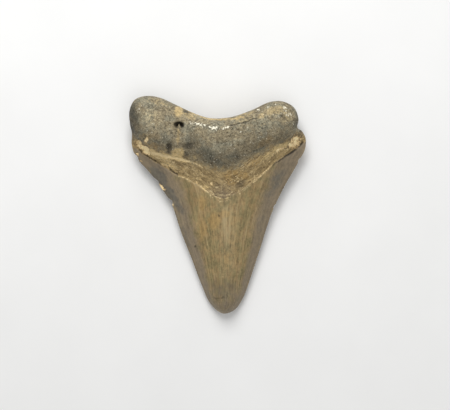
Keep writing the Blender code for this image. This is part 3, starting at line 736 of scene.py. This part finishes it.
# Pale threads along the bourlette, the layers' pale broken edges and partly painted highlight on the ledges:
# a path, half a breadth and an amount.
THREADS = [
    ([(-18.2, 14.2), (-16.1, 13.8), (-14.3, 13.3), (-12.6, 12.9)], 0.36, 1.3),
    ([(-12.9, 13.0), (-10.6, 12.5), (-8.6, 12.0), (-6.6, 11.4)], 0.34, 1.1),
    ([(-6.8, 11.5), (-5.2, 10.8), (-4.0, 10.0)], 0.25, 0.8),
    ([(-16.6, 13.0), (-14.0, 12.1), (-11.6, 11.5)], 0.25, 0.8),
    ([(-15.6, 11.5), (-13.4, 10.6)], 0.22, 0.9),
    ([(-11.0, 7.9), (-8.6, 7.2), (-7.2, 6.6)], 0.22, 0.7),
    ([(-12.0, 10.9), (-10.6, 10.0), (-9.0, 9.3), (-7.8, 8.2)], 0.22, 0.6),
    ([(-9.4, 10.6), (-7.4, 9.7), (-5.2, 9.2)], 0.22, 0.6),
    ([(-6.6, 9.6), (-5.8, 8.0), (-5.6, 6.6)], 0.22, 0.55),
    ([(-5.1, 5.7), (-2.9, 3.6), (-1.3, 1.9)], 0.25, 0.7),
    ([(5.7, 3.0), (8.4, 5.0), (10.1, 6.5), (12.0, 8.3), (14.0, 10.4)], 0.22, 0.9),
    ([(14.0, 10.4), (15.6, 11.8), (17.6, 13.2)], 0.22, 0.6),
    ([(-2.3, 4.3), (-1.1, 3.2), (0.4, 2.7), (2.4, 2.7), (4.2, 3.7)], 0.20, 0.85),
    ([(-1.5, 2.9), (-0.2, 2.1), (1.5, 1.8), (3.2, 2.1), (4.6, 3.2)], 0.17, 0.9),
    ([(-0.2, 1.4), (1.2, 1.1), (2.6, 1.2), (3.6, 1.7)], 0.16, 0.8),
    ([(0.6, 2.0), (0.4, 0.6), (0.6, -0.4)], 0.2, 0.5),
    ([(11.0, 10.8), (13.6, 12.8), (16.4, 15.0)], 0.22, 0.6),
    ([(9.4, 7.6), (11.6, 9.4), (14.4, 12.2)], 0.22, 0.6),
    ([(-10.8, 16.8), (-10.6, 18.4), (-10.4, 20.0)], 0.22, 0.35),
]


def patches(points, shapes):
    """The strongest of the patches at each point, fading out over their rims."""
    amount = np.zeros(len(points))
    for x, y, *shape, most in shapes:
        amount = np.maximum(amount, most * step(ellipse(points, (x, y), *shape), *STAIN_RIM))
    return amount


def stain_fields(at, solid, lingual):
    """How strong each stain is, with the painted shade and glints among them. Round the root, those of the
    upper face run on below the rim.
    """
    on_side = step(at.y, *SIDE_SPAN) * step(at.border, SIDE_BREADTH, 0.0)
    sway = np.column_stack([noise_at(solid, SIDE_SIZE, 71.0), noise_at(solid, SIDE_SIZE, 83.0)])
    places = ragged(at.points) + SIDE_SWAY * on_side[:, None] * sway
    stains = {name: patches(places, shapes) for name, shapes in LINGUAL_STAINS.items()}
    mottle = 1.3 * noise_at(solid, 3.0, 29.0) + 0.9 * noise_at(solid, 1.3, 37.0)
    wash = ARCH_WASH * step(mottle, *WASH_NOISE) * step(np.abs(at.x - WASH_X), *WASH_SPAN)
    stains["tan"] = mix(stains["tan"], wash, on_side)
    if lingual:
        return stains
    below = edge_height(at.points) - solid[:, 2] - STAINED_SIDE_WANDER * noise_at(solid, 2.4, 91.0)
    run = on_side * step(below, STAINED_SIDE, STAINED_SIDE - STAINED_SIDE_FADE)
    return {name: mix(patches(places, shapes), stains[name], run) for name, shapes in LABIAL_STAINS.items()}


def finish_fields(at, stains, lingual):
    """The values that the finish reads at each point."""
    points, uneven = at.points, ragged(at.points)
    left = (1.0 + at.across) / 2.0
    margin = np.maximum(step(left, *LEFT_MARGIN_SPAN), step(left, *RIGHT_MARGIN_SPAN))
    fields = {
        "over_enamel": at.over_enamel, "across": at.across, "border": at.border,
        "over_foot": at.over_foot if lingual else at.over_enamel,
        "margin": np.maximum(margin, TIP_MARGIN * step(uneven[:, 1], *TIP_MARGIN_SPAN)),
        **stains,
        **{name: np.zeros(len(points)) for name in ("seam_shade", "thread", "apex", "hole_shade")},
    }
    # The seams: dark lines along the cracks, partly their own dark and partly painted shade.
    for path, half_breadth, _, darkness in LINGUAL_CRACKS if lingual else LABIAL_CRACKS:
        mark = line_mark(mix(points, uneven, CRACK_SHARE), path, SEAM_SHADE_SPREAD * half_breadth)
        fields["seam_shade"] = np.maximum(fields["seam_shade"], darkness * mark)
    if lingual:
        # Painted shade on the root's slope down to its foot.
        band = step(at.over_foot, *DARK_FOOT_SPAN) * step(at.over_foot, *DARK_TOP_SPAN)
        band *= mix(DARK_ENDS, DARK_MIDDLE, bump(at.x - BOSS_X, DARK_REACH))
        fields["dark"] = np.maximum(fields["dark"], band)
        fields["fleck"] = np.maximum(fields["fleck"], line_mark(uneven, FLECK_AND_GLINT_LINE, FLECK_BREADTH))
        for path, half_breadth, amount in THREADS:
            mark = amount * line_mark(mix(points, uneven, THREAD_SHARE), path, half_breadth)
            fields["thread"] = np.maximum(fields["thread"], mark)
        fields["apex"] = near(uneven, APEX, APEX_STAIN_REACH)
        # Painted shade deep in the foramen.
        fields["hole_shade"] = step(ellipse(points, *FORAMEN[:4]), *HOLE_SHADE_RIM)
    return fields


def tooth_object():
    """The whole tooth as one closed mesh, with what its finish reads stored on its points."""
    plan = Plan()
    rings = strip_rings(plan)
    count = len(plan.outline)
    solids, faces, fields = [], [], []
    for lingual, spacing in ((True, LINGUAL_SPACING), (False, LABIAL_SPACING)):
        points, sheet = face_sheet(plan, rings, spacing, lingual)
        at = Fields(points, plan, lingual)
        z = lingual_height(at) if lingual else labial_height(at)
        z[:count] = edge_height(plan.outline)
        solid = np.column_stack([points, blunted(z, points, sheet, count)])
        notches = np.zeros(len(points))
        for ring in range(STRIP_RINGS):
            notches[ring * count:(ring + 1) * count] = plan.notches * (1.0 - ring / STRIP_RINGS) ** 1.5
        stains = stain_fields(at, solid, lingual)
        values = finish_fields(at, stains, lingual)
        values["relief"] = relief(at, solid, notches, stains["cream"], lingual)
        values["relief"][:count] = 0.0
        if faces:  # the second face shares the first one's outline, and is turned over
            shared, first = count, len(solids[0]) - count
            sheet = [[c if c < count else c + first for c in reversed(face)] for face in sheet]
        else:
            shared = 0
        faces += sheet
        solids.append(solid[shared:])
        fields.append({name: row[shared:] for name, row in values.items()})
    stored = {name: np.concatenate([half[name] for half in fields]) for name in fields[0]}
    solid = np.vstack(solids)
    low, high = solid.min(axis=0), solid.max(axis=0)
    fine = solid + normals_of(solid, faces) * stored["relief"][:, None]
    size = (np.array(TOOTH_HIGH) - TOOTH_LOW) / (high - low)
    places = (fine - low) * size + TOOTH_LOW
    places[:, 2] = np.maximum(places[:, 2], TOOTH_LOW[2])
    mesh = bpy.data.meshes.new("fossil_tooth")
    mesh.from_pydata(places.tolist(), [], faces)
    mesh.shade_smooth()
    for name, values in stored.items():
        attribute = mesh.attributes.new(name, "FLOAT", "POINT")
        attribute.data.foreach_set("value", values.astype(np.float32))
    return added("fossil_tooth", mesh)


# ---- The finish ----

class Nodes:
    """Adds nodes to a node tree."""

    COLUMNS, ACROSS, DOWN = 10, 220.0, 280.0

    def __init__(self, tree):
        self.tree = tree
        self.count = 0

    def add(self, kind, inputs=(), out=0, **settings):
        """A node, with its inputs in order or by name. Returns one output, or all if out is None."""
        node = self.tree.nodes.new(kind)
        row, column = divmod(self.count, self.COLUMNS)
        node.location = (column * self.ACROSS, -row * self.DOWN)
        self.count += 1
        for name, value in settings.items():
            setattr(node, name, value)
        for key, value in inputs.items() if isinstance(inputs, dict) else enumerate(inputs):
            if isinstance(value, bpy.types.NodeSocket):
                self.tree.links.new(value, node.inputs[key])
            else:
                node.inputs[key].default_value = value
        return node.outputs if out is None else node.outputs[out]

    def math(self, operation, *inputs):
        return self.add("ShaderNodeMath", inputs, operation=operation)

    def times(self, value, factor):
        return self.math("MULTIPLY", value, factor)

    def line(self, value, slope, start):
        """The start plus the slope times the value."""
        return self.math("MULTIPLY_ADD", value, slope, start)

    def vector(self, operation, *inputs):
        return self.add("ShaderNodeVectorMath", inputs, operation=operation)

    def noise(self, vector, scale, detail=2.0, roughness=0.5, distortion=0.0):
        """Noise round 0.5 that spreads over about 0 to 1."""
        raw = self.add("ShaderNodeTexNoise", {
            "Vector": vector, "Scale": scale, "Detail": detail, "Roughness": roughness,
            "Distortion": distortion})
        return self.add("ShaderNodeMapRange", {"Value": raw, "From Min": 0.3, "From Max": 0.7}, clamp=False)

    def step(self, value, low, high):
        """0 where the value is under low, 1 where it is over high, and smooth between."""
        return self.add("ShaderNodeMapRange", {
            "Value": value, "From Min": low, "From Max": high}, interpolation_type="SMOOTHSTEP")

    def ragged(self, value, noise, reach):
        """The value, moved up and down by the noise so that steps in it are uneven."""
        return self.math("SUBTRACT", self.line(noise, reach, value), reach / 2.0)

    def patch(self, value, noise, reach, low, high):
        """As by step(), of the value made uneven by the noise."""
        return self.step(self.ragged(value, noise, reach), low, high)

    def tint(self, share, under, over, most=None):
        """From one colour to the other by the share, which may be scaled down first."""
        share = share if most is None else self.times(share, most)
        return self.add("ShaderNodeMix", {0: share, 6: under, 7: over}, out=2, data_type="RGBA")

    def blend(self, share, under, over):
        return self.add("ShaderNodeMix", {0: share, 2: under, 3: over}, data_type="FLOAT")

    def shade(self, colour, value, slope=None, start=None):
        """The colour times the value, or times the start plus the slope times the value."""
        value = value if slope is None else self.line(value, slope, start)
        return self.add("ShaderNodeVectorMath", {0: colour, "Scale": value}, operation="SCALE")


def socket_label(name):
    return name.replace("_", " ").capitalize()


def node_group(name, inputs, outputs, fill):
    """A shader node group. Fill gets its nodes and its inputs by name, and returns its outputs."""
    tree = bpy.data.node_groups.new(name, "ShaderNodeTree")
    for direction, sockets in (("INPUT", inputs), ("OUTPUT", outputs)):
        for socket, kind in sockets.items():
            tree.interface.new_socket(socket_label(socket), in_out=direction, socket_type=kind)
    nodes = Nodes(tree)
    source = nodes.add("NodeGroupInput", out=None)
    made = fill(nodes, SimpleNamespace(**{socket: source[socket_label(socket)] for socket in inputs}))
    nodes.add("NodeGroupOutput", made, out=None)
    return tree


FLOAT, COLOUR, VECTOR = "NodeSocketFloat", "NodeSocketColor", "NodeSocketVector"
FINISH_OUTPUTS = {"color": COLOUR, "roughness": FLOAT, "height": FLOAT}


def bone_nodes(nodes, given):
    """Salt-and-pepper mineralised bone with tan stains, dark patches that are partly painted shade, and pale
    specks and flecks, the flecks partly painted glints.
    """
    place = given.position
    coarse = nodes.noise(place, 1.4, 4.0, 0.7)
    fine = nodes.noise(place, 3.4, 2.0, 0.6)
    cloud = nodes.noise(place, 0.30, 3.0, 0.6)
    grain = nodes.blend(0.45, coarse, fine)
    uneven = nodes.blend(0.5, coarse, cloud)
    salt = nodes.step(grain, 0.02, 1.08)
    dark = nodes.tint(nodes.step(cloud, 0.35, 0.75), given.bone_dark, given.bone_green)
    light = nodes.tint(nodes.step(cloud, 0.75, 0.25), given.bone_light, given.bone_warm)
    streaks = nodes.noise(nodes.vector("MULTIPLY", place, (0.9, 0.45, 0.6)), 0.8, 3.0, 0.6)
    colour = nodes.shade(nodes.tint(salt, dark, light), streaks, 0.44, 0.79)
    tan = nodes.shade(given.tan_stain, grain, 1.0, 0.42)
    colour = nodes.tint(nodes.patch(given.tan, uneven, 0.9, 0.15, 1.0), colour, tan, 0.85)
    colour = nodes.shade(colour, given.pale, 0.35, 1.0)
    brown = nodes.shade(given.ochre_stain, grain, 0.8, 0.3)
    colour = nodes.tint(nodes.patch(given.ochre, uneven, 0.8, 0.1, 1.0), colour, brown, 0.6)
    colour = nodes.shade(colour, nodes.patch(given.dark, uneven, 0.6, 0.0, 1.0), -0.72, 1.0)
    # Random pale specks, and the placed flecks, which are partly painted glints.
    specks = nodes.times(nodes.step(nodes.noise(place, 2.3, 1.0, 0.5), 0.94, 1.12), 0.35)
    crumbs_and_glints = nodes.patch(given.fleck, nodes.noise(place, 1.7, 3.0, 0.7), 1.6, 0.86, 1.2)
    colour = nodes.tint(nodes.math("MAXIMUM", specks, crumbs_and_glints), colour, given.bone_fleck)
    return colour, nodes.line(salt, -0.2, 0.78), nodes.line(fine, 0.7, coarse)


def bourlette_nodes(nodes, given):
    """A worn ochre band of thin layers, whose streaks run along the enamel's edge."""
    place = given.position
    grain = nodes.noise(place, 1.5, 4.0, 0.75)
    fine = nodes.noise(place, 3.2, 2.0, 0.6)
    wide = nodes.noise(place, 0.36, 3.0, 0.6)
    across = nodes.line(given.over_enamel, 1.7, nodes.times(wide, 1.1))
    along = nodes.vector("MULTIPLY", place, (0.36, 0.0, 0.0))
    depth = nodes.add("ShaderNodeCombineXYZ", (0.0, across, 0.0))
    layers = nodes.noise(nodes.vector("ADD", along, depth), 1.0, 4.0, 0.7, 0.7)
    mixed = nodes.blend(0.5, layers, nodes.blend(0.4, grain, fine))
    tone = nodes.step(mixed, 0.15, 0.82)
    colour = nodes.tint(tone, given.bourlette_dark, given.bourlette_light)
    colour = nodes.shade(colour, wide, 0.35, 0.82)
    crumbly = nodes.blend(0.5, layers, fine)
    tan = nodes.shade(given.tan_stain, mixed, 1.3, 0.55)
    colour = nodes.tint(nodes.patch(given.tan, crumbly, 0.9, 0.3, 0.75), colour, tan, 0.8)
    ochre = nodes.shade(given.ochre_stain, tone, 0.9, 0.5)
    colour = nodes.tint(nodes.patch(given.ochre, grain, 0.8, 0.3, 0.75), colour, ochre, 0.85)
    in_dark = nodes.patch(given.dark, nodes.blend(0.5, grain, wide), 0.9, 0.0, 1.1)
    colour = nodes.tint(in_dark, colour, given.bone_dark, 0.65)
    # Curled edges of flakes, each a furrow of painted shade beside a pale crest that is partly painted
    # highlight.
    curls = nodes.noise(nodes.vector("MULTIPLY", place, (0.75, 1.0, 1.0)), 1.05, 1.5, 0.5, 0.6)
    ridge = nodes.math("SUBTRACT", curls, 0.5)
    curled = nodes.step(wide, 0.2, 0.7)
    furrow_shade = nodes.times(nodes.step(ridge, 0.04, 0.12), nodes.step(ridge, 0.32, 0.16))
    colour = nodes.shade(colour, nodes.times(furrow_shade, curled), -0.34, 1.0)
    crest_and_highlight = nodes.times(nodes.step(nodes.math("ABSOLUTE", ridge), 0.075, 0.015), curled)
    flecks = nodes.times(nodes.step(crumbly, 0.74, 0.96), 0.75)
    flecks = nodes.math("MAXIMUM", flecks, nodes.times(crest_and_highlight, 0.8))
    # Pale threads, flecks and crests, drawn in the pale edge colour: partly the layers' own pale edges,
    # partly painted highlight.
    thread = nodes.patch(given.thread, grain, 1.1, 0.4, 0.95)
    colour = nodes.tint(nodes.math("MAXIMUM", thread, flecks), colour, given.bourlette_pale)
    apex = nodes.times(given.apex, nodes.line(grain, -0.9, 1.15))
    colour = nodes.tint(apex, colour, given.apex_stain, 0.75)
    height = nodes.math("ADD", layers, nodes.blend(0.4, grain, fine))
    return colour, nodes.line(tone, -0.16, 0.68), nodes.line(crest_and_highlight, 0.7, height)


def enamel_nodes(nodes, given):
    """Satin grey-brown enamel with fine lines that run to the tip, greyer towards its margins."""
    place = given.position

    def lines_along(pitch, length, roughness):
        """Noise drawn out along the crown; pitch is over the crown's width."""
        side = nodes.add("ShaderNodeCombineXYZ", (nodes.times(given.across, pitch), 0.0, 0.0))
        along = nodes.vector("MULTIPLY", place, (0.0, length, 0.0))
        return nodes.noise(nodes.vector("ADD", along, side), 1.0, 3.0, roughness)

    lines = lines_along(20.0, 0.12, 0.75)
    broad = lines_along(5.5, 0.07, 0.6)
    mottle = nodes.noise(place, 0.34, 4.0, 0.65)
    grain = nodes.noise(nodes.vector("MULTIPLY", place, (1.0, 0.6, 1.0)), 1.6, 4.0, 0.75)
    patchy = nodes.noise(nodes.vector("MULTIPLY", place, (1.0, 0.55, 1.0)), 0.85, 3.0, 0.6)
    warmth = nodes.step(nodes.blend(0.5, patchy, nodes.blend(0.5, broad, mottle)), 0.3, 0.72)
    texture = nodes.blend(0.5, grain, lines)
    colour = nodes.shade(nodes.tint(warmth, given.enamel_olive, given.enamel_brown), texture, 1.2, 0.40)
    colour = nodes.shade(colour, mottle, 0.30, 0.85)
    pale = nodes.step(nodes.line(given.pale, 0.35, nodes.blend(0.45, lines, broad)), 0.55, 1.0)
    pale = nodes.times(pale, nodes.step(given.margin, 0.7, 0.1))
    colour = nodes.tint(pale, colour, given.enamel_pale, 0.75)
    warm = nodes.shade(given.ochre_stain, texture, 0.8, 0.6)
    in_warm = nodes.patch(given.ochre, nodes.blend(0.5, broad, grain), 0.8, 0.0, 1.1)
    colour = nodes.tint(in_warm, colour, warm, 0.75)
    cool = nodes.step(nodes.line(mottle, 0.6, given.cool), 0.35, 1.1)
    grey = nodes.shade(nodes.tint(cool, given.enamel_grey, given.enamel_cool), texture, 0.8, 0.6)
    edge = nodes.line(broad, 0.35, nodes.line(mottle, 0.5, given.margin))
    colour = nodes.tint(nodes.step(edge, 0.4, 1.45), colour, grey, 0.92)
    rim = nodes.step(nodes.line(mottle, 1.3, given.border), 0.85, 0.3)
    colour = nodes.tint(rim, colour, given.enamel_pale, 0.45)
    in_dark = nodes.patch(given.dark, nodes.blend(0.4, grain, mottle), 0.9, 0.1, 1.1)
    colour = nodes.shade(colour, in_dark, -0.62, 1.0)
    # Pale threads over the enamel's edge, partly painted highlight.
    thread = nodes.patch(given.thread, grain, 1.1, 0.4, 0.95)
    colour = nodes.tint(thread, colour, given.bourlette_pale, 0.7)
    return colour, nodes.line(mottle, 0.14, 0.40), nodes.line(grain, 0.5, lines)


# Each finish: its nodes, the values it reads at each point, and its colours.
FINISHES = {
    "Fossil bone": (
        bone_nodes, "tan dark pale ochre fleck",
        "bone_light bone_warm bone_dark bone_green bone_fleck tan_stain ochre_stain"),
    "Worn bourlette": (
        bourlette_nodes, "over_enamel tan dark ochre thread apex",
        "bourlette_light bourlette_dark bourlette_pale bone_dark tan_stain ochre_stain apex_stain"),
    "Fossil enamel": (
        enamel_nodes, "across margin border pale ochre dark cool thread",
        "enamel_brown enamel_olive enamel_pale enamel_grey enamel_cool ochre_stain bourlette_pale"),
}


def tooth_material(colours):
    """The fossil's finish: bone, bourlette and enamel by their distance over the tooth's lines."""
    material = bpy.data.materials.new("fossil_tooth")
    material.use_nodes = True
    material.node_tree.nodes.clear()
    nodes = Nodes(material.node_tree)
    place = nodes.vector("MULTIPLY", nodes.add("ShaderNodeTexCoord", out=3), (1.0 / MM,) * 3)

    @functools.cache
    def stored(name):
        return nodes.add("ShaderNodeAttribute", out=2, attribute_name=name)

    def tone(name):
        return (*getattr(colours, name), 1.0)

    finishes = []
    for name, (fill, marks, tones) in FINISHES.items():
        values = {mark: stored(mark) for mark in marks.split()}
        values.update({colour: tone(colour) for colour in tones.split()})
        kinds = {key: COLOUR if isinstance(value, tuple) else FLOAT for key, value in values.items()}
        group = node_group(name, {"position": VECTOR, **kinds}, FINISH_OUTPUTS, fill)
        inputs = {socket_label(key): value for key, value in values.items()}
        inputs["Position"] = place
        finishes.append(nodes.add("ShaderNodeGroup", inputs, out=None, node_tree=group))
    bone, bourlette, enamel = finishes

    edge_noise = nodes.noise(place, 0.8, 4.0, 0.75)
    in_root = nodes.patch(stored("over_foot"), edge_noise, *ROOT_PATCH)
    in_enamel = nodes.patch(stored("over_enamel"), edge_noise, *ENAMEL_PATCH)
    colour, roughness, height = (
        mixed(in_enamel, mixed(in_root, bourlette[k], bone[k]), enamel[k])
        for k, mixed in enumerate((nodes.tint, nodes.blend, nodes.blend)))

    # Painted shade: the colour is darkened in the relief's hollows, along the cracks' seams and deep in the
    # foramen.
    cavity_shade = nodes.step(stored("relief"), *CAVITY_SHADE_SPAN)
    seam_shade = nodes.patch(stored("seam_shade"), edge_noise, *SEAM_SHADE_PATCH)
    hole_shade = nodes.times(stored("hole_shade"), nodes.step(stored("relief"), *HOLE_SHADE_SPAN))
    shadow = nodes.times(nodes.line(cavity_shade, 0.5, 0.5), nodes.line(seam_shade, -0.7, 1.0))
    colour = nodes.shade(colour, nodes.times(shadow, nodes.line(hole_shade, -0.93, 1.0)))

    chip_noise = nodes.noise(place, 1.6, 4.0, 0.75)
    crumb = nodes.noise(place, 3.4, 2.0, 0.7)
    chip = nodes.ragged(stored("cream"), chip_noise, 0.9)
    in_chip = nodes.step(chip, 0.35, 0.7)
    cream = nodes.tint(nodes.patch(chip, crumb, 0.5, 0.55, 1.25), tone("chip_rim"), tone("cream"))
    colour = nodes.tint(in_chip, colour, nodes.shade(cream, crumb, 0.4, 0.85))
    bumped = nodes.add("ShaderNodeBump", {
        "Strength": nodes.blend(in_enamel, ROUGH_BUMP, ENAMEL_BUMP), "Distance": BUMP_DISTANCE,
        "Height": nodes.blend(in_chip, height, chip_noise)})
    shader = nodes.add("ShaderNodeBsdfPrincipled", {
        "Base Color": colour, "Roughness": nodes.blend(in_chip, roughness, CHIP_ROUGHNESS),
        "Normal": bumped, "Specular IOR Level": GLOSS})
    nodes.add("ShaderNodeOutputMaterial", {"Surface": shader}, out=None)
    return material


def floor_material(colour):
    """A plain matt floor with a hardly visible grain."""
    material = bpy.data.materials.new("pale_floor")
    material.use_nodes = True
    nodes = Nodes(material.node_tree)
    grain = nodes.noise(nodes.add("ShaderNodeTexCoord", out=3), 40.0, 3.0)
    shader = material.node_tree.nodes["Principled BSDF"]
    shader.inputs["Roughness"].default_value = 0.85
    material.node_tree.links.new(nodes.shade(tuple(colour), grain, 0.03, 0.985), shader.inputs["Base Color"])
    return material


# ---- The add-on ----

KEY_PLACE, KEY_SIDE = (-0.05, 0.32, 0.30), 0.26  # of the soft lights, in metres
FILL_PLACE, FILL_SIDE = (0.10, -0.22, 0.55), 0.50
SENSOR_WIDTH = 36.0  # in millimetres, as the lens is
PICTURE_WIDTH, PIXELS_PER_MM = 450, 3.7
VIEW_WIDTH = PICTURE_WIDTH / PIXELS_PER_MM * MM
VIEW_MIDDLE = (1.96 * MM, 0.07 * MM)  # the camera looks straight down on it
CROWN_LEVEL = 4 * MM  # height of the crown's edges, where the view's width is taken


def colour_property(name, description, default):
    return FloatVectorProperty(
        name=name, description=description, default=default, subtype="COLOR", min=0.0, max=1.0)


def length_property(name, description, default):
    return FloatProperty(name=name, description=description, default=default, unit="LENGTH")


class FossilColours(bpy.types.PropertyGroup):
    bone_light: colour_property("Light grain", "Pale mineral grains of the root", (0.42, 0.375, 0.257))
    bone_warm: colour_property("Warm grain", "Brownish mineral grains of the root", (0.43, 0.357, 0.215))
    bone_dark: colour_property("Dark grain", "Dark mineral grains of the root", (0.090, 0.070, 0.040))
    bone_green: colour_property("Green grain", "Grey-green cast of the root", (0.084, 0.080, 0.051))
    tan_stain: colour_property("Tan stain", "Pale tan patches of the root", (0.59, 0.435, 0.20))
    cream: colour_property("Cream", "Freshly chipped spots and specks", (1.0, 0.81, 0.46))
    bourlette_light: colour_property("Light layer", "Bourlette, pale layers", (0.54, 0.39, 0.18))
    bourlette_dark: colour_property("Dark layer", "Bourlette, dark layers", (0.185, 0.125, 0.052))
    # The bone flecks' colour is also that of painted glints on the root's top.
    bone_fleck: colour_property("Bone flecks", "Pale mineral specks in the bone", (0.95, 0.90, 0.72))
    chip_rim: colour_property("Chip rim", "Golden rims of the chips", (0.70, 0.50, 0.24))
    apex_stain: colour_property("Apex", "Worn end of the bourlette", (0.20, 0.155, 0.11))
    # The pale edge colour is also that of the painted highlight on threads, flecks and crests.
    bourlette_pale: colour_property("Pale edge", "Broken edges of the layers", (0.75, 0.585, 0.315))
    ochre_stain: colour_property("Ochre", "Iron stain on bourlette and enamel", (0.385, 0.25, 0.092))
    enamel_brown: colour_property("Brown enamel", "Middle of the crown", (0.322, 0.223, 0.099))
    enamel_olive: colour_property("Olive enamel", "Cast of the crown", (0.252, 0.199, 0.091))
    enamel_pale: colour_property("Pale lines", "Fine lines along the crown", (0.45, 0.35, 0.183))
    enamel_grey: colour_property("Grey margin", "Margins of the crown", (0.246, 0.195, 0.13))
    enamel_cool: colour_property("Cool margin", "Blue-grey parts of the margins", (0.148, 0.134, 0.107))


class FossilStage(bpy.types.PropertyGroup):
    floor_side: length_property("Floor", "Side of the square floor", 30.0)
    floor_colour: colour_property("Floor colour", "Plain pale floor", (0.86, 0.86, 0.85))
    camera_height: length_property("Camera height", "Of the camera over the floor", 0.42)
    view_width: length_property(
        "View width", "What the picture's width takes in at the crown's edge", VIEW_WIDTH)
    key_power: FloatProperty(name="Key light", description="Power in watts", default=1.64)
    fill_power: FloatProperty(name="Fill light", description="Power in watts", default=0.68)
    sky: FloatProperty(name="Sky", description="Brightness of the pale surroundings", default=0.375)


class FOSSIL_OT_tooth(bpy.types.Operator):
    """Build the tooth in its place on the frame"""

    bl_idname = "fossil.tooth"
    bl_label = "Build Tooth"

    def execute(self, context):
        tooth = tooth_object()
        tooth.data.materials.append(tooth_material(context.scene.fossil_colours))
        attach(tooth, "root")
        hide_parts(NODE)
        return {"FINISHED"}


def area_light(name, place, side, power):
    """A square light at the place that shines on the middle of the tooth."""
    data = bpy.data.lights.new(name, "AREA")
    data.size = side
    data.energy = power
    light = added(name, data)
    light.location = place
    light.rotation_euler = (-Vector(place)).to_track_quat("-Z", "Y").to_euler()


class FOSSIL_OT_stage(bpy.types.Operator):
    """Set out the floor, the soft lights and the camera"""

    bl_idname = "fossil.stage"
    bl_label = "Set Stage"

    def execute(self, context):
        look = context.scene.fossil_stage
        half = look.floor_side / 2
        mesh = bpy.data.meshes.new("floor")
        corners = [(-half, -half, 0.0), (half, -half, 0.0), (half, half, 0.0), (-half, half, 0.0)]
        mesh.from_pydata(corners, [], [(0, 1, 2, 3)])
        mesh.materials.append(floor_material(look.floor_colour))
        floor = added("floor", mesh)
        area_light("key", KEY_PLACE, KEY_SIDE, look.key_power)
        area_light("fill", FILL_PLACE, FILL_SIDE, look.fill_power)
        sky = bpy.data.worlds.new("sky")
        sky.use_nodes = True
        background = sky.node_tree.nodes["Background"]
        background.inputs["Color"].default_value = (1.0, 1.0, 1.0, 1.0)
        background.inputs["Strength"].default_value = look.sky
        context.scene.world = sky
        data = bpy.data.cameras.new("camera")
        data.sensor_width = SENSOR_WIDTH
        data.lens = SENSOR_WIDTH * (look.camera_height - CROWN_LEVEL) / look.view_width
        camera = added("camera", data)
        camera.location = (*VIEW_MIDDLE, look.camera_height)
        context.scene.camera = camera
        context.scene.view_settings.view_transform = "Standard"
        return {"FINISHED"}


class FOSSIL_PT_sidebar(bpy.types.Panel):
    """Lists the steps and the values of the fossil tooth"""

    bl_label = "Fossil Tooth"
    bl_idname = "FOSSIL_PT_sidebar"
    bl_space_type = "VIEW_3D"
    bl_region_type = "UI"
    bl_category = "Fossil"

    def draw(self, context):
        for step in OPERATORS:
            self.layout.operator(step.bl_idname)
        for values in (context.scene.fossil_colours, context.scene.fossil_stage):
            box = self.layout.box()
            for name in values.__annotations__:
                box.prop(values, name)


OPERATORS = (FOSSIL_OT_tooth, FOSSIL_OT_stage)
CLASSES = (FossilColours, FossilStage, *OPERATORS, FOSSIL_PT_sidebar)


def register():
    for item in CLASSES:
        bpy.utils.register_class(item)
    bpy.types.Scene.fossil_colours = PointerProperty(type=FossilColours)
    bpy.types.Scene.fossil_stage = PointerProperty(type=FossilStage)


def unregister():
    del bpy.types.Scene.fossil_stage
    del bpy.types.Scene.fossil_colours
    for item in reversed(CLASSES):
        bpy.utils.unregister_class(item)


def main():
    register()
    bpy.ops.fossil.tooth()
    bpy.ops.fossil.stage()


if __name__ == "__main__":
    main()
